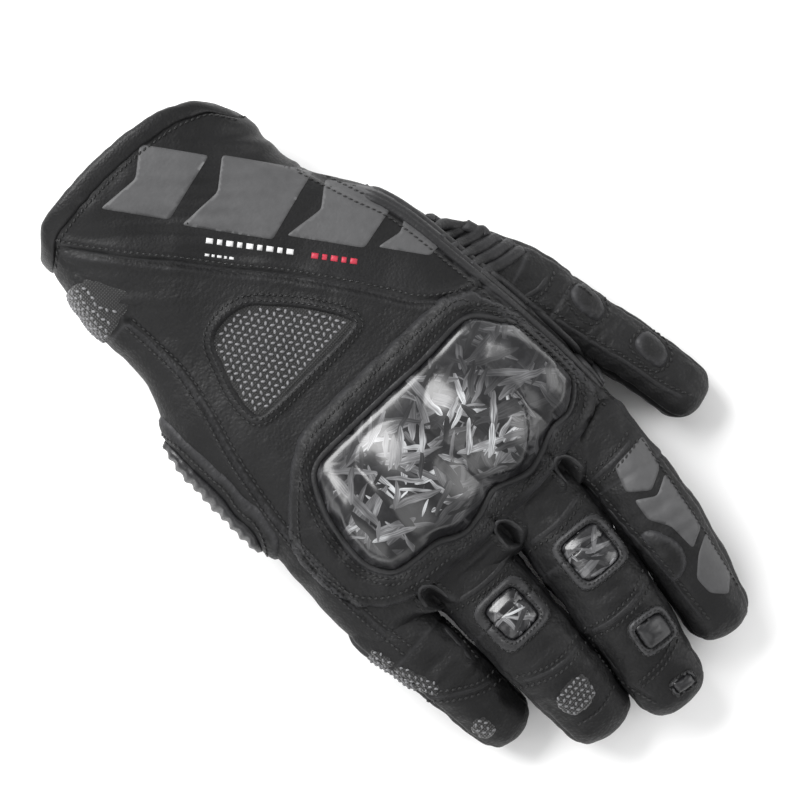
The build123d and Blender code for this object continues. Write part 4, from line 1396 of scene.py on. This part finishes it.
for digit, name, radius, rows, line in (   # radius of the rolled seam, stitch rows beside it, its points
        (index, "index_edge", 0.8, (1.7,), [(-27.5, 50), (-27, 60), (-25.5, 76), (-24.5, 90), (-21, 116)]),
        (index, "index_outer_seam", None, (0.0,),
         [(-50, 60), (-47.5, 72), (-44, 88), (-40, 104), (-37, 116)]),
        (index, "index_cross_seam", 1.0, (2.0, -2.0), [(-49, 57.5), (-40, 58.5), (-28, 57.5)]),
        (middle_finger, "middle_cross_seam", 1.1, (2.0,), [(-25, 57.5), (-12, 58.8), (1, 56.5)]),
        (middle_finger, "middle_second_seam", 1.0, (1.9, -1.9),
         [(-21, 90.5), (-14, 93), (-8, 93.5), (0, 92.5), (8, 89.5)]),
        (middle_finger, "middle_end_seam", None, (0.0, 1.8), [(-11, 111), (-2, 113.5), (8, 113)]),
        (middle_finger, "middle_right_seam", 0.7, (1.6,),
         [(7, 122), (9, 112), (9.3, 105), (8, 97), (5.5, 93)]),
        (ring_finger, "ring_cross_seam", 1.1, (2.0,), [(5, 54.8), (18, 55), (32, 51.5)]),
        (ring_finger, "ring_second_seam", 1.0, (1.9, -1.9), [(9, 89.5), (17, 90.5), (25, 89), (34, 84)]),
        (ring_finger, "ring_end_seam", None, (0.0,), [(13, 108), (22, 110), (31, 108)]),
        (little, "little_first_seam", 0.9, (1.7,), [(36.5, 50), (37, 60), (38.5, 70)]),
        (little, "little_second_seam", 0.9, (1.8, -1.8), [(36, 78.5), (43, 77), (52, 71), (57, 66)]),
        (thumb, "thumb_side_seam", 0.9, (1.7,),
         [(-57, 3), (-59, 12), (-62, 28), (-65, 42), (-67, 55), (-70, 64)]),
        (thumb, "thumb_base_seam", 1.0, (1.8,), [(-70, 2), (-64, 4), (-56.5, 2)])):
    digit.sew(name, radius, rows, line)

for number, block in enumerate((     # print along the index finger, each on one side of its divide
        [(-51.0, 59.8), (-37.5, 59.8), (-34, 68), (-40, 73.5), (-47.4, 70.5)],
        [(-47, 73), (-40, 76), (-34, 71.5), (-32.5, 79), (-36, 86), (-35.6, 96), (-42.6, 93)],
        [(-42.2, 95.5), (-35.4, 98.6), (-29.5, 103.5), (-29, 110), (-33, 115), (-38.2, 110.5)])):
    part = "tip" if index.beyond(sharp_outline(block).mean(0)) else "base"
    ink(f"index_print_{number}", block, GREY_PRINT, index.where[part], "leather", 0.22, 1.0)


# ------------------------------------------------------------------ palm and wrist strap
HEEL = (26, -46)         # middle of the heel pad in plan


def heel_grooves(points, edge):
    """Two straight grooves in the heel slider."""
    return -0.5 * dip(np.abs(points[:, 0] - HEEL[0]) - 5, 0.8) * smoothstep(1, 3, edge)


grip = curve_through([(-38, 20), (-34, 0), (-28, -16), (0, -23), (32, -16), (40, 0), (43, 20), (28, 27),
                      (6, 30), (-20, 27)], 1.2, True)
lay("palm_grip", grip, PALM, 1.9, "hand", "palm_leather", "palm_grip_patch", view="bottom", roll=1.6,
    channels=((2.6, 0.4),), step=1.6)
sew_row("palm_grip_stitch", looped(grown(grip, -2.6)), slot="palm_leather", view="bottom")
lay("heel_pad", rounded_box(HEEL, 38, 34), PALM, 1.0, "hand", "soft_pad", "palm_heel_pad", padded=0.7,
    view="bottom", roll=4, stuffed=0.8)
lay("heel_slider", rounded_box(HEEL, 27, 24, 0, 3.4), NYLON, 1.3, "hand", "heel_slider",
    "palm_heel_slider", view="bottom", roll=2.4, sink=-0.1, shape=heel_grooves)
sew_row("heel_pad_stitch", looped(rounded_box(HEEL, 32, 29)), slot="soft_pad", view="bottom")
for number, line in enumerate(([(-44, -58), (-38, -40), (-35, -20), (-36, 6), (-42, 26), (-48, 38)],
                               [(-44, 34), (-20, 40), (6, 41), (30, 38), (50, 28)],
                               [(44, -56), (48, -30), (50, 0), (50, 26)])):
    line = curve_through(line)
    roll_seam(f"palm_seam_{number}", line, PALM, slot="palm_leather", view="bottom", radius=0.9,
              sink=0.35, squash=0.6)
    for row_number, by in enumerate((-1.8, 1.8)):
        sew_row(f"palm_seam_{number}_stitch_{row_number}", offset_line(line, by), slot="palm_leather",
                view="bottom")
wrist_line = np.array([(x, WRIST_SEAM) for x in np.arange(-40, 40, 2.0)])
for number, by in enumerate((-1.7, 1.7)):
    sew_row(f"palm_wrist_stitch_{number}", offset_line(wrist_line, by), slot="palm_leather", view="bottom")


def slab(name, node, material, body, slot_name, bevel=0.5):
    """Flat strap or tape that fills a CAD node's own box, with rounded corners and edges."""
    low, high = corners(node)
    centre, size = (low + high) / 2, high - low
    outline = rounded_box(centre[:2], size[0], size[1], 0, 6)
    points, faces = fill_outline(outline, (), 1.5)
    d = to_line(points, outline, True)[0]
    round_off = bevel * (1 - np.sqrt(1 - (1 - np.clip(d / bevel, 0, 1)) ** 2))
    top = np.column_stack([points, np.full(len(points), high[2]) - round_off])
    under = np.column_stack([points, np.full(len(points), low[2]) + round_off])
    count = len(points)
    rim = [(i, i + 1 if i + 1 < len(outline) else 0) for i in range(len(outline))]
    every = [tuple(f) for f in faces] + [tuple(f[::-1] + count) for f in faces]
    every += [(a, a + count, b + count, b) for a, b in rim]
    attach(new_piece(name, np.vstack([top, under]), every, material), body, slot_name, node)


slab("strap_body", "wrist_strap", STRAP, "wrist_strap", "strap")
slab("strap_tab", "strap_pull_tab", NYLON, "wrist_strap", "strap")
slab("strap_hooks", "strap_hook_patch", HOOK, "wrist_strap", "hook", 0.2)
slab("strap_loops", "strap_loop_patch", LOOP, "hand", "loop", 0.3)
slab("strap_end", "strap_anchor", STRAP, "hand", "strap")
low, high = corners("wrist_strap")
border = rounded_box(((low + high) / 2)[:2], *(high - low)[:2] - 4, 0, 6)
run = resample(looped(border), 2.6)
centres = np.column_stack([(run[1:] + run[:-1]) / 2, np.full(len(run) - 1, low[2] - 0.05)])
ways = np.column_stack([run[1:] - run[:-1], np.zeros(len(run) - 1)])
under = np.tile((0.0, 0.0, -1.0), (len(centres), 1))
attach(beads("strap_stitch", centres, ways, under, (1.0, 0.34, 0.3), THREAD), "wrist_strap", "strap")


# ------------------------------------------------------------------ camera, floor and light
CENTRE = Vector((-0.0066, -0.0044, 0.024))
DISTANCE, FRAME_WIDTH, SENSOR = 1.5, 0.256, 36.0
camera_data = bpy.data.cameras.new("camera")
camera_data.sensor_width = SENSOR
camera_data.lens = SENSOR * DISTANCE / FRAME_WIDTH
camera = new_object("camera", camera_data)
camera.location = CENTRE + Vector((0, 0, DISTANCE))
camera.rotation_euler = (0, 0, math.radians(133))
bpy.context.scene.camera = camera
bpy.context.scene.view_settings.view_transform = "Standard"

HALF_FLOOR = 3.0
floor_corners = np.array([(-1, -1, 0), (1, -1, 0), (1, 1, 0), (-1, 1, 0)]) * HALF_FLOOR
floor_mesh = new_mesh("floor", floor_corners, [(0, 1, 2, 3)])
floor = new_object("floor", floor_mesh)
floor.location.z = -0.0006
pale = bpy.data.materials.new("pale_floor")
pale.use_nodes = True
pale.node_tree.nodes["Principled BSDF"].inputs["Base Color"].default_value = (0.93, 0.93, 0.93, 1)
pale.node_tree.nodes["Principled BSDF"].inputs["Roughness"].default_value = 0.9
floor_mesh.materials.append(pale)


LIT_POINT = Vector((0, 0, 0.02))


def area_light(name, place, power, size):
    """A square lamp that points at the middle of the glove."""
    data = bpy.data.lights.new(name, "AREA")
    data.energy, data.size = power, size
    lamp = new_object(name, data)
    lamp.location = place
    lamp.rotation_euler = (LIT_POINT - Vector(place)).to_track_quat("-Z", "Y").to_euler()


area_light("key", (0.1, -1.15, 0.95), 38, 1.0)
area_light("fill", (1.0, 0.5, 0.9), 8, 1.2)
area_light("rim", (-0.9, 0.7, 0.6), 8, 0.9)
world = bpy.data.worlds.new("studio")
bpy.context.scene.world = world
world.use_nodes = True
world.node_tree.nodes["Background"].inputs["Color"].default_value = (1, 1, 1, 1)
world.node_tree.nodes["Background"].inputs["Strength"].default_value = 0.5
